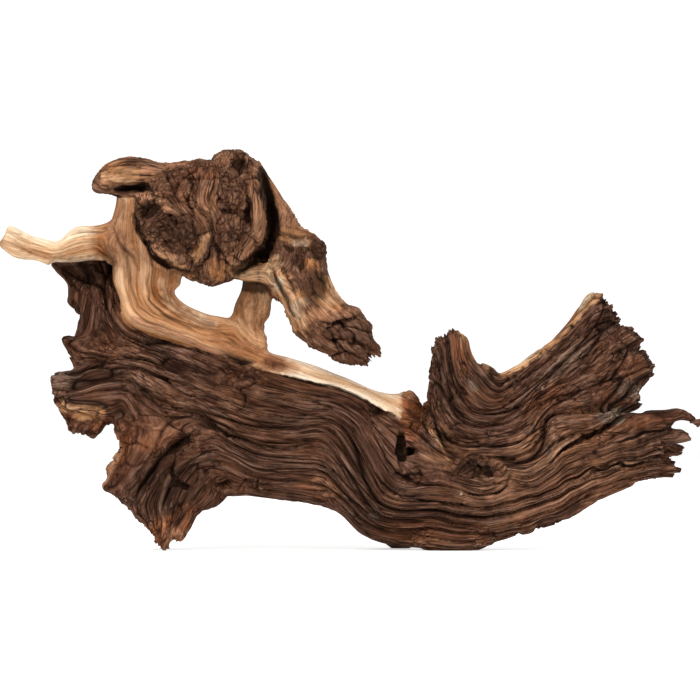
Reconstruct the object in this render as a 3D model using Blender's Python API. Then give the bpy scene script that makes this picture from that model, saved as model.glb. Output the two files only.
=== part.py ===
"""A mopani root: one weathered, twisted piece of root wood that stands on its lower edge.

The whole root is one body. Each branch, lobe and strand is a limb: a surface carried along a path,
whose outline in the front plane (X and Z) is given by two edges and whose depth (Y) by a half depth.
The limbs run well into each other, are fused into one skin, and carry the long ridges of the
weathered grain. Lengths in the tables are millimetres, with X to the right, Z up from the surface
that the root stands on, and the front of the root towards -Y.
"""

import math

import bmesh
import bpy
import numpy as np
from mathutils.kdtree import KDTree

MM = 0.001

# Driving dimensions, in millimetres
SKIN_VOXEL = 1.9
SKIN_SMOOTHING_PASSES = 5
RING_SPACING = 3.0
POINTS_ROUND = 48
MOST_TRIANGLES = 11700
CUTTER_SIDE = 900.0
THINNEST_HALF_DEPTH = 1.0

# The long ridges of the weathered grain and the round lumps of the burl: their size, how far their
# tops stand over the cracks beside them, and how far a ridge's line wanders to the side
RIDGE_LENGTH = 46.0
RIDGE_HEIGHT = 4.4
LUMP_SIZE = 11.5
LUMP_HEIGHT = 3.8
WANDER = 1.8
WANDER_LENGTH = 40.0
DOME_RIM = 0.5
DOME_LEVEL = 0.72
FULL_RELIEF_THICKNESS = 13.0
GRAIN_SLACK = 1e-5
GRAIN_SCALE = 100.0
TINY = 1e-12

# Each limb is a list of stations. A station is one edge point (x, z), the other edge point (x, z),
# the depth of its middle (y, back is positive) and its half depth.
TRUNK = [
    (-178, 128, -180, 98, 4, 9),
    (-160, 138, -158, 90, 3, 16),
    (-140, 142, -140, 72, 2, 21),
    (-115, 137, -112, 52, 1, 25),
    (-90, 130, -88, 42, 0, 28),
    (-65, 122, -65, 36, -1, 30),
    (-45, 115, -45, 33, -1, 31),
    (-20, 109, -25, 29.5, 0, 31),
    (6, 101, -9, 25, 1, 30),
    (24, 93, 6, 11, 2, 30),
    (40, 84, 26, 4, 3, 30),
    (62, 80, 55, 1, 3, 29),
    (86, 80, 85, 3, 3, 28),
    (110, 86, 114, 11, 2, 26),
    (134, 88, 140, 21, 1, 23),
    (158, 89, 163, 33, -1, 19),
    (184, 89, 185, 43, -3, 15),
    (203, 88, 202, 50, -4, 11),
]
NECK = [
    (-170, 108, -118, 108, 5, 18),
    (-178, 126, -124, 126, 7, 17),
    (-177, 146, -134, 146, 9, 16),
    (-181, 163, -142, 163, 12, 15),
    (-182, 178, -148, 180, 15, 13),
    (-176, 190, -150, 191, 17, 9),
]
UPPER_SIDE_LOBE = [
    (-184.5, 138, -181, 123, -1, 5),
    (-178, 139, -176, 119, 0, 9),
    (-164, 140, -162, 114, 1, 13),
]
LOWER_SIDE_LOBE = [
    (-191, 113, -192, 98, -2, 8),
    (-183, 117, -184, 85, -2, 13),
    (-170, 121, -170, 76, -1, 16),
    (-158, 122, -159, 80, 0, 17),
    (-146, 122, -147, 88, 0, 17),
]
FOOT = [
    (-150, 86, -82, 66, -2, 21),
    (-152, 68, -79, 48, -4, 21),
    (-158.5, 42, -81, 36, -6, 19),
    (-148, 31, -88, 29.5, -8, 16),
    (-139, 20.5, -99, 24, -9, 13),
    (-130.5, 14, -105, 14, -10, 10),
    (-127, 8, -112, 8.5, -11, 7.5),
    (-123.5, 3, -117, 4, -11, 5.5),
    (-122, -2.5, -118, -2.5, -11, 5),
]
BACK_TOE = [
    (-132, 44, -94, 40, 8, 14),
    (-129, 22, -104, 22, 14, 11),
    (-125.5, 8, -112, 9, 19, 8),
    (-124, 2, -116, 2, 21, 6),
    (-123, -2, -117, -2, 22, 5),
]
BACK_STUB = [
    (-8, 74, 34, 70, 12, 20),
    (-1, 50, 40, 48, 20, 18),
    (10, 28, 42, 28, 28, 14),
    (20, 12, 41, 12, 33, 10),
    (26, -2, 39, -2, 36, 7),
]
BELLY = [
    (42, 26, 42, 2.6, -4, 15),
    (53, 26, 53, -1.4, -5, 19),
    (66, 26, 66, -2.4, -5, 20),
    (79, 26, 79, -1.4, -5, 19),
    (92, 26, 93, 4.2, -4, 14),
]
FIN = [
    (47, 76, 106, 74, 2, 27),
    (49.5, 94, 101, 92, 2, 23),
    (51, 110, 96, 109, 1, 18),
    (52.5, 122, 85, 120, 0, 14),
    (54, 132, 78, 130, -2, 11),
    (58, 138, 74.5, 138, -4, 8.5),
    (64, 142, 71, 142, -6, 5.5),
]
FIN_SHOULDER = [
    (82, 121, 79, 92, 3, 12),
    (92, 119, 90, 90, 3, 13),
    (97, 113, 99, 88, 3, 13),
]
RAISED_LOBE = [
    (76, 104, 88, 52, 1, 24),
    (92, 112, 112, 54, 3, 22),
    (106, 118, 134, 61, 6, 20),
    (119, 127.5, 153, 72, 9, 18),
    (131, 136, 171, 84, 12, 16.5),
    (142, 148.5, 184, 96, 15, 15),
    (152, 160, 192, 108, 18, 13),
    (160, 166.5, 195.5, 117, 21, 10),
    (169, 160, 193, 127, 23, 6),
]
TOP_SPLINTER = [
    (150, 84, 150, 66, -4, 13),
    (170, 88, 172, 72, -6, 11),
    (187, 91.5, 188, 78, -8, 9),
    (202, 92, 202, 81, -9, 7),
    (214, 92.5, 213, 83.5, -10, 5),
    (222, 88, 220, 83, -10, 3.8),
    (229, 82.5, 226.5, 79.5, -10, 2.6),
]
SECOND_SPLINTER = [
    (170, 79, 170, 62, -3, 11),
    (190, 80, 190, 66, -4, 9),
    (206, 79, 206, 68, -5, 7),
    (216, 77, 215, 70, -5, 5),
    (223, 74.5, 222, 71, -5, 3.2),
]
THIRD_SPLINTER = [
    (178, 68, 178, 56, 4, 12),
    (196, 69, 196, 59, 6, 9),
    (208, 70, 208, 61, 7, 6.5),
    (217, 67, 217, 62, 8, 4),
]
LOWEST_SPLINTER = [
    (178, 60, 178, 42, -1, 13),
    (194, 60, 194, 46, -2, 10),
    (206, 60, 206, 48, -3, 7),
    (214, 53, 210, 47, -4, 4.5),
]
PALE_BRANCH = [
    (-220.5, 211, -227.5, 198, -22, 7),
    (-211, 206.5, -216, 190.5, -20, 8),
    (-200, 201, -203, 188.5, -17, 8.5),
    (-190, 199.5, -192, 184, -15, 9.5),
    (-180, 206.5, -181, 184.5, -13, 11),
    (-169, 208.5, -167, 187, -11, 12.5),
    (-157, 212, -154, 186, -10, 13.5),
    (-146, 220, -138, 184, -9, 14),
]
PALE_ROOT = [
    (-150, 238, -127, 238, -8, 13),
    (-151, 226, -124, 224, -8, 14),
    (-154.5, 212, -120, 210, -9, 14),
    (-157, 198, -117, 197, -9, 15),
    (-153.5, 184, -115, 185, -10, 15),
    (-153, 174, -113, 174, -10, 15),
    (-149, 163, -113, 168, -10, 14.5),
    (-146.5, 150, -108.5, 161.5, -9, 14.5),
    (-131, 141, -100, 156, -8, 14.5),
    (-109, 134, -91, 152.5, -7, 14.5),
    (-90, 126.5, -79, 151, -6, 14.5),
    (-74, 121, -66, 145, -4, 14.5),
    (-58, 116, -55, 130.5, -2, 15),
    (-40, 111, -39, 125.5, 0, 16),
    (-20, 105.5, -17, 117.5, 1, 16),
    (0, 99.5, 3, 108.5, 1, 16),
    (13, 91.5, 16, 103.5, 1, 15),
    (22, 84.5, 28, 100.8, 1, 14),
    (33, 78.5, 36, 101.5, 2, 12),
    (41, 74, 43, 100.5, 3, 10),
    (46.5, 70, 46, 91, 4, 8),
]
PILLAR = [
    (-82, 128, -58, 120, -3, 13),
    (-79.5, 142, -56, 138, -2, 12),
    (-78, 151, -55.5, 148, 0, 11.5),
    (-74.5, 160, -52, 157, 3, 11),
    (-71, 168, -50.5, 166, 6, 11),
    (-70, 178, -51, 177, 7, 11),
    (-70, 190, -54, 190, 7, 11),
]
BURL = [
    (-116, 249, -62, 252, -14, 16),
    (-128, 244, -58, 244, -16, 25),
    (-137, 230, -55, 230, -17, 30),
    (-139, 215, -54.5, 213, -18, 31),
    (-133, 200, -57.5, 200, -17, 29),
    (-122, 189, -66, 190, -15, 24),
    (-111, 180, -74, 180.5, -13, 18),
    (-105, 176, -79, 175, -12, 12),
    (-97, 174, -86, 173, -11, 7),
]
BURL_DOME = [
    (-96, 244, -58, 240, -16, 20),
    (-89, 253, -62, 252, -16, 15),
    (-83, 259.5, -67, 259, -16, 10),
]
NOSE = [
    (-167.5, 240.5, -168, 233, -14, 6),
    (-161.5, 247.5, -161.5, 230.8, -14, 11),
    (-152, 254, -151.5, 229.5, -14, 14),
    (-139, 255.8, -139, 228, -14, 16),
    (-123, 252, -123, 226, -14, 19),
    (-106, 252, -106, 222, -15, 22),
]
BEAK = [
    (-80, 246, -60, 254.5, 6, 12),
    (-76, 236, -50, 241, 8, 13),
    (-70, 224, -42.5, 227, 8, 14),
    (-66, 211, -34, 212, 5, 15),
    (-64, 198, -22, 204.5, 2, 16),
    (-58, 185, -15, 195, -2, 18),
    (-49, 169.5, -14, 180, -6, 19),
    (-43, 158, -9, 168.5, -9, 18),
    (-36, 146, -2.5, 160.5, -12, 17),
    (-28.5, 136.5, 7, 156.5, -15, 16),
    (-18, 129.5, 13.5, 148.5, -18, 15),
    (-8, 122.5, 15, 139, -20, 13),
    (2, 120, 13, 130, -22, 9),
]
BEAK_ARM = [
    (-77, 186, -76.5, 177, -9, 8),
    (-68, 188, -68, 174.5, -9, 10),
    (-58, 190, -57, 173, -8, 12),
    (-47, 193, -49, 168, -7, 14),
    (-38, 194, -41, 160, -6, 15),
]
BEAK_TIP = [
    (6, 146, 0, 128, -20, 10),
    (13.5, 140.5, 9, 127, -21, 7.5),
    (21.5, 133, 18, 127, -22, 4.5),
]

# Grain lines read off the front of the root. Each row is a line's distance across the grain and the
# points (x, z) that it runs through. Between the lines that distance is a smooth surface, and the
# ridges follow its level lines.
TRUNK_GRAIN = [
    (0, [(-149, 172), (-147, 156), (-138, 146), (-122, 140.5), (-104, 134), (-85, 125.5), (-65, 118),
         (-45, 112.5), (-20, 106), (0, 100.5), (12, 94), (20, 86), (31, 79.5), (41, 71.5), (51, 63),
         (63, 57), (74, 53)]),
    (0, [(100, 51), (112, 50), (122, 53), (131, 59), (138, 66), (146, 70), (157, 72), (166, 78),
         (176, 85), (187, 92)]),
    (8, [(-156, 172), (-154, 157), (-147, 145), (-130, 135.5), (-107, 126), (-88, 117.5), (-68, 110),
         (-45, 104.5), (-22, 98.5), (-3, 93), (7, 86), (14, 75), (21, 62), (30, 52), (42, 47), (56, 49),
         (66, 46), (76, 42.5), (88, 40.5), (96, 43), (103, 46), (115, 44), (127, 50), (137, 59),
         (148, 64), (165, 68.5), (185, 77), (210, 82)]),
    (18, [(-163, 172), (-162, 157), (-157, 143), (-140, 131), (-113, 119), (-92, 109), (-70, 100),
          (-48, 95), (-26, 90.5), (-8, 88), (1, 81), (7, 72), (13, 62), (18, 52), (23, 43), (31, 38),
          (44, 37.5), (60, 38), (75, 35), (90, 33), (103, 37.5), (117, 39), (130, 44), (142, 52),
          (158, 58.5), (175, 63.5), (198, 70), (215, 74)]),
    (24, [(-184, 134), (-172, 129), (-160, 127.5), (-150, 126.5), (-140, 125), (-128, 121.5),
          (-113, 114), (-100, 107.5), (-85, 101.5), (-68, 94), (-48, 89.5), (-28, 86.5), (-11, 85.5),
          (-2, 79), (4, 70), (10, 59), (15, 49), (20, 40), (27, 34.5), (40, 33), (56, 33.5),
          (75, 30.5), (92, 29), (107, 32), (122, 36), (134, 41), (148, 48.5), (165, 55), (190, 62),
          (214, 66)]),
    (36, [(-192, 110), (-183, 109.5), (-176, 110), (-169, 113.5), (-160, 115), (-148, 115.5),
          (-141, 115), (-133, 110.5), (-122, 104.5), (-108, 99), (-92, 92), (-75, 84.5), (-60, 78.5),
          (-45, 76.5), (-33, 77.5), (-23, 79), (-13, 77), (-6, 70), (0, 60), (6, 50), (12, 41),
          (18, 33), (26, 28.5), (42, 27), (58, 27), (75, 24), (95, 24), (112, 28), (127, 33),
          (141, 40), (155, 47), (172, 53), (195, 58)]),
    (46, [(-190, 98), (-178, 97.5), (-165, 98), (-150, 97), (-142, 94.5), (-133, 89.5), (-124, 86),
          (-112, 85), (-98, 86), (-88, 80.5), (-75, 73), (-60, 67.5), (-45, 66), (-33, 66.5),
          (-22, 67), (-14, 63.5), (-8, 56), (-2, 47), (5, 38), (13, 30), (22, 24), (36, 22),
          (52, 22.5), (70, 18.5), (92, 18), (112, 22.5), (128, 28), (144, 36.5), (160, 43.5),
          (180, 50), (200, 53.5)]),
    (51, [(-92, 76), (-100, 76), (-107, 72), (-117, 63), (-127, 51), (-135, 41), (-141, 31)]),
    (44, [(-146, 82), (-147, 70), (-151, 56), (-157, 43)]),
    (56, [(-130, 18), (-132, 30), (-126, 42), (-118, 54), (-108, 64), (-97, 70), (-86, 72), (-72, 64),
          (-58, 57.5), (-45, 56.5), (-30, 56), (-20, 55), (-12, 50), (-5, 41), (2, 33), (10, 24.5),
          (20, 18.5), (35, 16.5), (55, 16.5), (75, 13), (95, 13.5), (113, 17), (130, 23), (147, 32),
          (163, 39), (182, 46)]),
    (66, [(-118, 12), (-117, 25), (-113, 38), (-107, 48), (-98, 56), (-90, 58), (-80, 57), (-66, 50),
          (-50, 47.5), (-35, 47), (-22, 45.5), (-13, 41), (-5, 32.5), (3, 24), (11, 16.5), (22, 11.5),
          (38, 9.5), (58, 9.5), (78, 7.5), (98, 9.5), (117, 13.5), (135, 20), (155, 30)]),
    (72, [(-112, 14), (-107, 24), (-102, 35), (-95, 44), (-86, 49), (-75, 48)]),
    (78, [(-99, 26), (-93, 32), (-86, 39), (-78, 40), (-62, 37), (-45, 34), (-25, 31), (-13, 27),
          (-3, 19), (6, 11.5), (18, 5.5), (40, 2), (62, 0), (85, 2), (105, 7), (130, 16)]),
    (-8, [(47, 84), (52, 74), (60, 65), (70, 58.5), (85, 57.5), (100, 57), (112, 58), (122, 64),
          (128, 71), (134, 78), (142, 81), (153, 83), (165, 87), (182, 98)]),
    (-16, [(50, 95), (54, 84), (61, 73), (71, 66.5), (85, 65.5), (100, 65.5), (112, 69), (121, 78),
           (129, 88), (137, 92), (151, 96), (166, 101), (184, 112)]),
    (-24, [(52, 108), (56, 93), (63, 81), (73, 74), (86, 72.5), (100, 73.5), (112, 79), (124, 91),
           (136, 99), (151, 106), (168, 114), (187, 127)]),
    (-33, [(55, 122), (59, 104), (66, 90), (76, 81.5), (88, 79.5), (101, 81.5), (113, 88), (126, 100),
           (141, 109), (157, 119), (181, 137)]),
    (-43, [(60, 134), (64, 112), (71, 97), (80, 88.5), (91, 87), (103, 90), (116, 100), (131, 113),
           (150, 129), (169, 144)]),
    (-53, [(68, 138), (70, 120), (77, 107), (85, 98), (93, 95), (103, 99), (117, 110), (134, 126),
           (150, 141), (162, 153)]),
    (-62, [(75, 134), (79, 122), (86, 112), (93, 105), (98, 104), (108, 112), (124, 125), (142, 142),
           (158, 161)]),
]
PALE_GRAIN = [
    (0, [(-151, 226), (-155, 210), (-156, 195), (-153, 180), (-152, 170), (-148, 158), (-140, 147),
         (-122, 140.5), (-104, 134), (-85, 125.5), (-65, 118.5), (-45, 112.5), (-20, 106), (0, 100),
         (12, 93.5), (21, 86), (32, 79)]),
    (10, [(-143, 226), (-144, 210), (-144, 195), (-143, 182), (-143, 170), (-140, 158), (-130, 149),
          (-112, 142), (-95, 135.5), (-77, 129), (-60, 122), (-42, 117), (-20, 110), (2, 103.5),
          (15, 97), (25, 90), (35, 84)]),
    (18, [(-135, 226), (-136, 212), (-135, 198), (-133, 185), (-134, 172), (-131, 161), (-120, 152.5),
          (-105, 146.5), (-88, 141), (-75, 137), (-60, 128.5), (-40, 121), (-18, 113), (4, 106),
          (17, 101), (29, 96), (38, 92)]),
    (26, [(-126, 222), (-127, 208), (-124, 195), (-122, 182), (-124, 170), (-119, 163), (-108, 155.5),
          (-97, 149.5), (-84, 147), (-72, 145)]),
    (30, [(-77, 154), (-72, 164), (-69, 174)]),
    (38, [(-66, 146), (-64, 158), (-61, 170)]),
    (46, [(-58, 144), (-54, 156), (-52, 167)]),
    (2, [(-222, 208), (-205, 201.5), (-191, 198), (-178, 204), (-165, 206), (-156, 211), (-151, 220)]),
    (-5, [(-224, 202), (-208, 196), (-192, 192), (-176, 197), (-162, 198)]),
    (-12, [(-222, 195), (-205, 190.5), (-192, 186.5), (-180, 189), (-168, 190), (-158, 188)]),
]
BEAK_GRAIN = [
    (0, [(-68, 246), (-58, 232), (-52, 215), (-50, 200), (-49, 185), (-47, 170), (-40, 156),
         (-33, 144), (-24, 134), (-10, 124)]),
    (10, [(-60, 250), (-50, 235), (-43, 218), (-40, 202), (-38, 188), (-36, 174), (-31, 162),
          (-22, 150), (-12, 139), (0, 128)]),
    (22, [(-55, 250), (-46, 236), (-37, 217), (-28, 205), (-25, 192), (-24, 178), (-19, 166),
          (-9, 156), (2, 145), (12, 134)]),
    (32, [(-34, 212), (-22, 205), (-16, 197), (-14, 184), (-12, 174), (-6, 163), (5, 156),
          (13, 147)]),
    (2, [(-76, 179), (-66, 177.5), (-57, 178), (-50, 172)]),
    (8, [(-74, 184), (-64, 184), (-55, 186), (-47, 182), (-42, 172)]),
]
BURL_GRAIN = [
    (0, [(-166, 234), (-155, 231), (-140, 230), (-128, 232), (-118, 236)]),
    (8, [(-163, 243), (-152, 243), (-138, 243), (-122, 243), (-110, 243)]),
    (16, [(-157, 250), (-146, 252.5), (-132, 253), (-118, 250), (-105, 251)]),
    (-6, [(-135, 205), (-128, 220), (-113, 227), (-98, 220), (-91, 205), (-98, 190), (-113, 183),
          (-128, 190)]),
    (-14, [(-127, 205), (-123, 215), (-113, 219), (-103, 215), (-99, 205), (-103, 195), (-113, 191),
           (-123, 195)]),
    (-22, [(-119, 205), (-113, 211), (-107, 205), (-113, 199)]),
    (22, [(-95, 248), (-97, 235), (-96, 222)]),
    (30, [(-88, 250), (-89, 235), (-88, 220), (-84, 205), (-86, 190)]),
    (40, [(-76, 255), (-78, 240), (-78, 220), (-76, 205), (-80, 190)]),
    (52, [(-64, 250), (-63, 235), (-62, 220), (-64, 205), (-72, 192)]),
    (60, [(-57, 240), (-55.5, 225), (-57, 210), (-65, 195)]),
]

# The kinds of skin. Each has its grain lines, the direction (x, z) that its grain mostly runs with
# the width of its ridges, and its shares of the height of the ridges and of the lumps.
BARK, PALE, GNARLED, WEATHERED = range(4)
GRAIN_OF = {BARK: TRUNK_GRAIN, PALE: PALE_GRAIN, GNARLED: BURL_GRAIN, WEATHERED: BEAK_GRAIN}
GRAIN_RUN = {
    BARK: (1.0, -0.5, 10.5),
    PALE: (0.7, -0.7, 12.0),
    GNARLED: (0.6, -0.8, 9.0),
    WEATHERED: (0.7, -0.7, 9.0),
}
RELIEF_SHARES = {BARK: (1.0, 0.12), PALE: (0.5, 0.0), GNARLED: (0.45, 0.8), WEATHERED: (0.8, 0.35)}
LIMBS = {
    BARK: [
        TRUNK, NECK, UPPER_SIDE_LOBE, LOWER_SIDE_LOBE, FOOT, BACK_TOE, BACK_STUB, BELLY, FIN,
        FIN_SHOULDER, RAISED_LOBE, TOP_SPLINTER, SECOND_SPLINTER, THIRD_SPLINTER, LOWEST_SPLINTER,
    ],
    PALE: [PALE_BRANCH, PALE_ROOT, PILLAR],
    GNARLED: [BURL, BURL_DOME, NOSE],
    WEATHERED: [BEAK, BEAK_ARM, BEAK_TIP],
}
SECTION_SQUARENESS = 2.4
KNOB_RINGS = 9
KNOB_SIDES = 16
KNOB_POLE = math.radians(83)

# Knobs that stand out of the skin: x, y, z of the middle, then half width, half depth, half height
KNOBS = [
    (-57.5, -6, 135, 5, 7, 7),
    (39.5, -2, 97, 6, 9, 7),
    (-77, -43, 228, 8, 8, 8),
    (-74, -42, 210, 8, 8, 9),
    (-60, -32, 222, 4.5, 9, 24),
    (-113, -40, 205, 19, 11, 19),
    (-97, -34, 240, 9, 9, 8),
    (-112, -32, 241, 8, 9, 8),
    (-88, -34, 190, 7, 8, 12),
    (-73, -28, 188, 8, 9, 6),
    (-90, -20, 178, 9, 8, 6),
    (-109, -30, 187, 10, 7, 5),
    (-20, -14, 196, 6, 7, 6.5),
    (-34, -19, 190, 5.5, 6, 5.5),
    (-26.5, -22, 175, 8, 6, 8),
    (-18, -27, 138, 8, 6, 7),
    (2, -28, 134, 9, 6, 7),
    (0, -25, 150, 9, 6, 5),
    (-148, -10, 80, 6, 12, 7),
    (-152, -12, 44, 7, 9, 8),
    (-111, -12, 14, 6, 7, 6),
    (184, 16, 140, 8, 8, 8),
    (190, 14, 117, 7, 8, 9),
    (88, -16, 42, 12, 10, 6),
    (-70, -20, 102, 9, 8, 9),
]

# Hollows pressed into the front of the skin: x, z of the middle, half width, half height, depth
HOLLOWS = [
    (-132, 220, 8, 6, 9),
    (-138, 235, 13, 3, 7),
    (-70, 249, 5, 4, 6),
    (-93, 222, 4, 14, 5),
    (-102, 186, 4, 7, 5),
    (33, 68, 3, 9, 8),
    (42, 62, 9, 3, 5),
    (84, 53, 13, 7, 7),
    (40, 49, 10, 3, 5),
    (-172, 86, 12, 6, 7),
    (-116, 66, 10, 6, 6),
    (-129, 48, 7, 14, 6),
    (-168, 180, 15, 7, 5),
    (-78, 113, 8, 7, 5),
    (-48, 119, 7, 5, 6),
    (160, 74, 14, 3, 6),
    (-30, 180, 4, 14, 4),
    (-6, 142, 3, 12, 4),
    (-53, 212, 4, 22, 8),
]
HOLLOW_REACH_BACK = 2.0

BARK_COLOUR = (0.105, 0.062, 0.043)
BARK_ROUGHNESS = 0.78


def smooth_stations(stations):
    """Rows between the stations, on a smooth curve through all of them.

    Each column is a cubic whose slope at a station is that of the line through its neighbours."""
    rows = np.array(stations, float)
    middles = (rows[:, 0:2] + rows[:, 2:4]) / 2
    steps = np.linalg.norm(np.diff(np.column_stack([middles, rows[:, 4]]), axis=0), axis=1)
    along = np.concatenate([[0.0], np.cumsum(steps)])
    slopes = np.gradient(rows, along, axis=0)
    count = max(4, int(math.ceil(along[-1] / RING_SPACING)))
    wanted = np.linspace(0.0, along[-1], count + 1)
    before = np.clip(np.searchsorted(along, wanted, side="right") - 1, 0, len(rows) - 2)
    span = (along[before + 1] - along[before])[:, None]
    t = (wanted - along[before])[:, None] / span
    return (
        (2 * t**3 - 3 * t**2 + 1) * rows[before]
        + (t**3 - 2 * t**2 + t) * span * slopes[before]
        + (3 * t**2 - 2 * t**3) * rows[before + 1]
        + (t**3 - t**2) * span * slopes[before + 1]
    )


def closed_rings(rings):
    """Points and faces of a surface through rings of points, closed on a middle point at each end."""
    count, sides = rings.shape[:2]
    points = np.vstack([rings.reshape(-1, 3), rings[0].mean(axis=0), rings[-1].mean(axis=0)])
    here = np.arange(sides)
    there = (here + 1) % sides
    start = np.arange(count - 1)[:, None] * sides
    walls = np.stack([start + here, start + there, start + sides + there, start + sides + here], -1)
    first, last, end = count * sides, count * sides + 1, (count - 1) * sides
    faces = walls.reshape(-1, 4).tolist()
    faces += np.column_stack([np.full(sides, first), there, here]).tolist()
    faces += np.column_stack([np.full(sides, last), end + here, end + there]).tolist()
    return points, faces


def limb_surface(stations):
    """One limb: a closed surface over the length and the angle round it, and how thick it is there.

    A ring's point is the middle of the two edges, plus the half width towards the first edge times
    a rounded cosine of the angle, plus the half depth towards the back times a rounded sine."""
    rows = smooth_stations(stations)
    first = np.column_stack([rows[:, 0], rows[:, 4], rows[:, 1]])
    second = np.column_stack([rows[:, 2], rows[:, 4], rows[:, 3]])
    reach = (first - second) / 2
    half_depth = np.maximum(rows[:, 5], THINNEST_HALF_DEPTH)
    angle = np.arange(POINTS_ROUND) / POINTS_ROUND * math.tau
    power = 2.0 / SECTION_SQUARENESS
    cosine = np.sign(np.cos(angle)) * np.abs(np.cos(angle)) ** power
    sine = np.sign(np.sin(angle)) * np.abs(np.sin(angle)) ** power
    rings = ((first + second) / 2)[:, None, :] + reach[:, None, :] * cosine[:, None]
    rings[..., 1] += half_depth[:, None] * sine
    points, faces = closed_rings(rings)
    thick = np.minimum(np.linalg.norm(reach, axis=1), half_depth)
    return points, faces, np.append(np.repeat(thick, POINTS_ROUND), thick[[0, -1]])


def knob_surface(knob):
    """One knob: an ellipsoid over the angle round it and the angle up it."""
    x, y, z, half_width, half_depth, half_height = knob
    up = np.linspace(-KNOB_POLE, KNOB_POLE, KNOB_RINGS)[:, None]
    turn = np.arange(KNOB_SIDES) / KNOB_SIDES * math.tau
    level = np.ones(KNOB_SIDES)
    rings = np.stack(
        [
            x + half_width * np.cos(up) * np.cos(turn),
            y + half_depth * np.cos(up) * np.sin(turn),
            z + half_height * np.sin(up) * level,
        ],
        axis=-1,
    )
    return closed_rings(rings)


def outwards(points, faces):
    """The same surface with its faces turned round if they enclose less than nothing."""
    fans = [(face[0], face[k], face[k + 1]) for face in faces for k in range(1, len(face) - 1)]
    volume = np.linalg.det(points[np.array(fans)] - points.mean(axis=0)).sum()
    return (points, [face[::-1] for face in faces]) if volume < 0 else (points, faces)


def scattered(cells, salt):
    """One repeatable number from 0 to 1 for each whole-number cell of space."""
    whole = cells.astype(np.int64).astype(np.uint64)
    mixed = (
        whole[..., 0] * np.uint64(73856093)
        ^ whole[..., 1] * np.uint64(19349663)
        ^ whole[..., 2] * np.uint64(83492791)
        ^ np.uint64(salt * 2654435761)
    )
    mixed = (mixed ^ (mixed >> np.uint64(15))) * np.uint64(2246822519)
    mixed = (mixed ^ (mixed >> np.uint64(13))) * np.uint64(3266489917)
    mixed = mixed ^ (mixed >> np.uint64(16))
    return (mixed & np.uint64(0xFFFFFFFF)).astype(float) / float(0xFFFFFFFF)


def cell_dome(points, salt):
    """Domes over scattered cells: 0 on the wall between two cells and 1 over most of each cell.

    Each cell of space holds one seed point. The height is the distance to the second nearest seed
    less the distance to the nearest, cut off at DOME_RIM cell widths and rounded by a square root."""
    home = np.floor(points)
    nearest = np.full(len(points), 9.0)
    second = nearest.copy()
    for shift in np.ndindex(3, 3, 3):
        cell = home + shift - 1
        seed = cell + np.column_stack([scattered(cell, salt + k) for k in range(3)])
        gap = np.linalg.norm(points - seed, axis=1)
        second = np.minimum(second, np.maximum(gap, nearest))
        nearest = np.minimum(nearest, gap)
    return np.sqrt(np.clip((second - nearest) / DOME_RIM, 0.0, 1.0))


def across_grain(lines, x, z):
    """Distance across the grain at each point of the front plane.

    It is the thin-plate surface through the values of the grain lines: a plane plus, for each
    point of a line, a weight times r squared times the logarithm of r."""
    known = np.array([(px, pz, value) for value, line in lines for px, pz in line], float)
    known[:, :2] /= GRAIN_SCALE

    def terms(ax, az):
        squared = (ax[:, None] - known[:, 0]) ** 2 + (az[:, None] - known[:, 1]) ** 2
        return 0.5 * squared * np.log(squared + TINY), np.column_stack([np.ones(len(ax)), ax, az])

    count = len(known)
    bend, plane = terms(known[:, 0], known[:, 1])
    system = np.zeros((count + 3, count + 3))
    system[:count, :count] = bend + np.eye(count) * GRAIN_SLACK
    system[:count, count:] = plane
    system[count:, :count] = plane.T
    weights = np.linalg.solve(system, np.append(known[:, 2], np.zeros(3)))
    bend, plane = terms(x / GRAIN_SCALE, z / GRAIN_SCALE)
    return bend @ weights[:count] + plane @ weights[count:]


def fuse_skin(obj):
    """Wraps all the limbs in one skin and softens where they meet."""
    skin = obj.modifiers.new("one_skin", "REMESH")
    skin.mode = "VOXEL"
    skin.voxel_size = SKIN_VOXEL * MM
    soften = obj.modifiers.new("soften", "SMOOTH")
    soften.factor = 0.5
    soften.iterations = SKIN_SMOOTHING_PASSES
    apply_modifiers(obj)


def apply_modifiers(obj):
    """Puts the mesh that the object's modifiers make in place of its own, and removes them."""
    bpy.context.view_layer.update()
    made = bpy.data.meshes.new_from_object(obj.evaluated_get(bpy.context.evaluated_depsgraph_get()))
    obj.modifiers.clear()
    old = obj.data
    obj.data = made
    bpy.data.meshes.remove(old)
    made.name = obj.name


def points_and_normals(mesh):
    """The mesh's points in millimetres and the directions its skin faces there."""
    points = np.empty(len(mesh.vertices) * 3)
    normals = np.empty(len(mesh.vertices) * 3)
    mesh.vertices.foreach_get("co", points)
    mesh.vertices.foreach_get("normal", normals)
    return points.reshape(-1, 3) / MM, normals.reshape(-1, 3)


def put_points(mesh, points):
    mesh.vertices.foreach_set("co", (points * MM).ravel())
    mesh.update()


def press_hollows(mesh):
    """Pushes the front of the skin backwards into each hollow, most at its middle."""
    points, normals = points_and_normals(mesh)
    facing = np.clip(-normals[:, 1] * 1.6, 0.0, 1.0) * (points[:, 1] < HOLLOW_REACH_BACK)
    push = np.zeros(len(points))
    for x, z, half_width, half_height, depth in HOLLOWS:
        reach = ((points[:, 0] - x) / half_width) ** 2 + ((points[:, 2] - z) / half_height) ** 2
        push = np.maximum(push, depth * np.exp(-reach))
    points[:, 1] += push * facing
    put_points(mesh, points)


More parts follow.
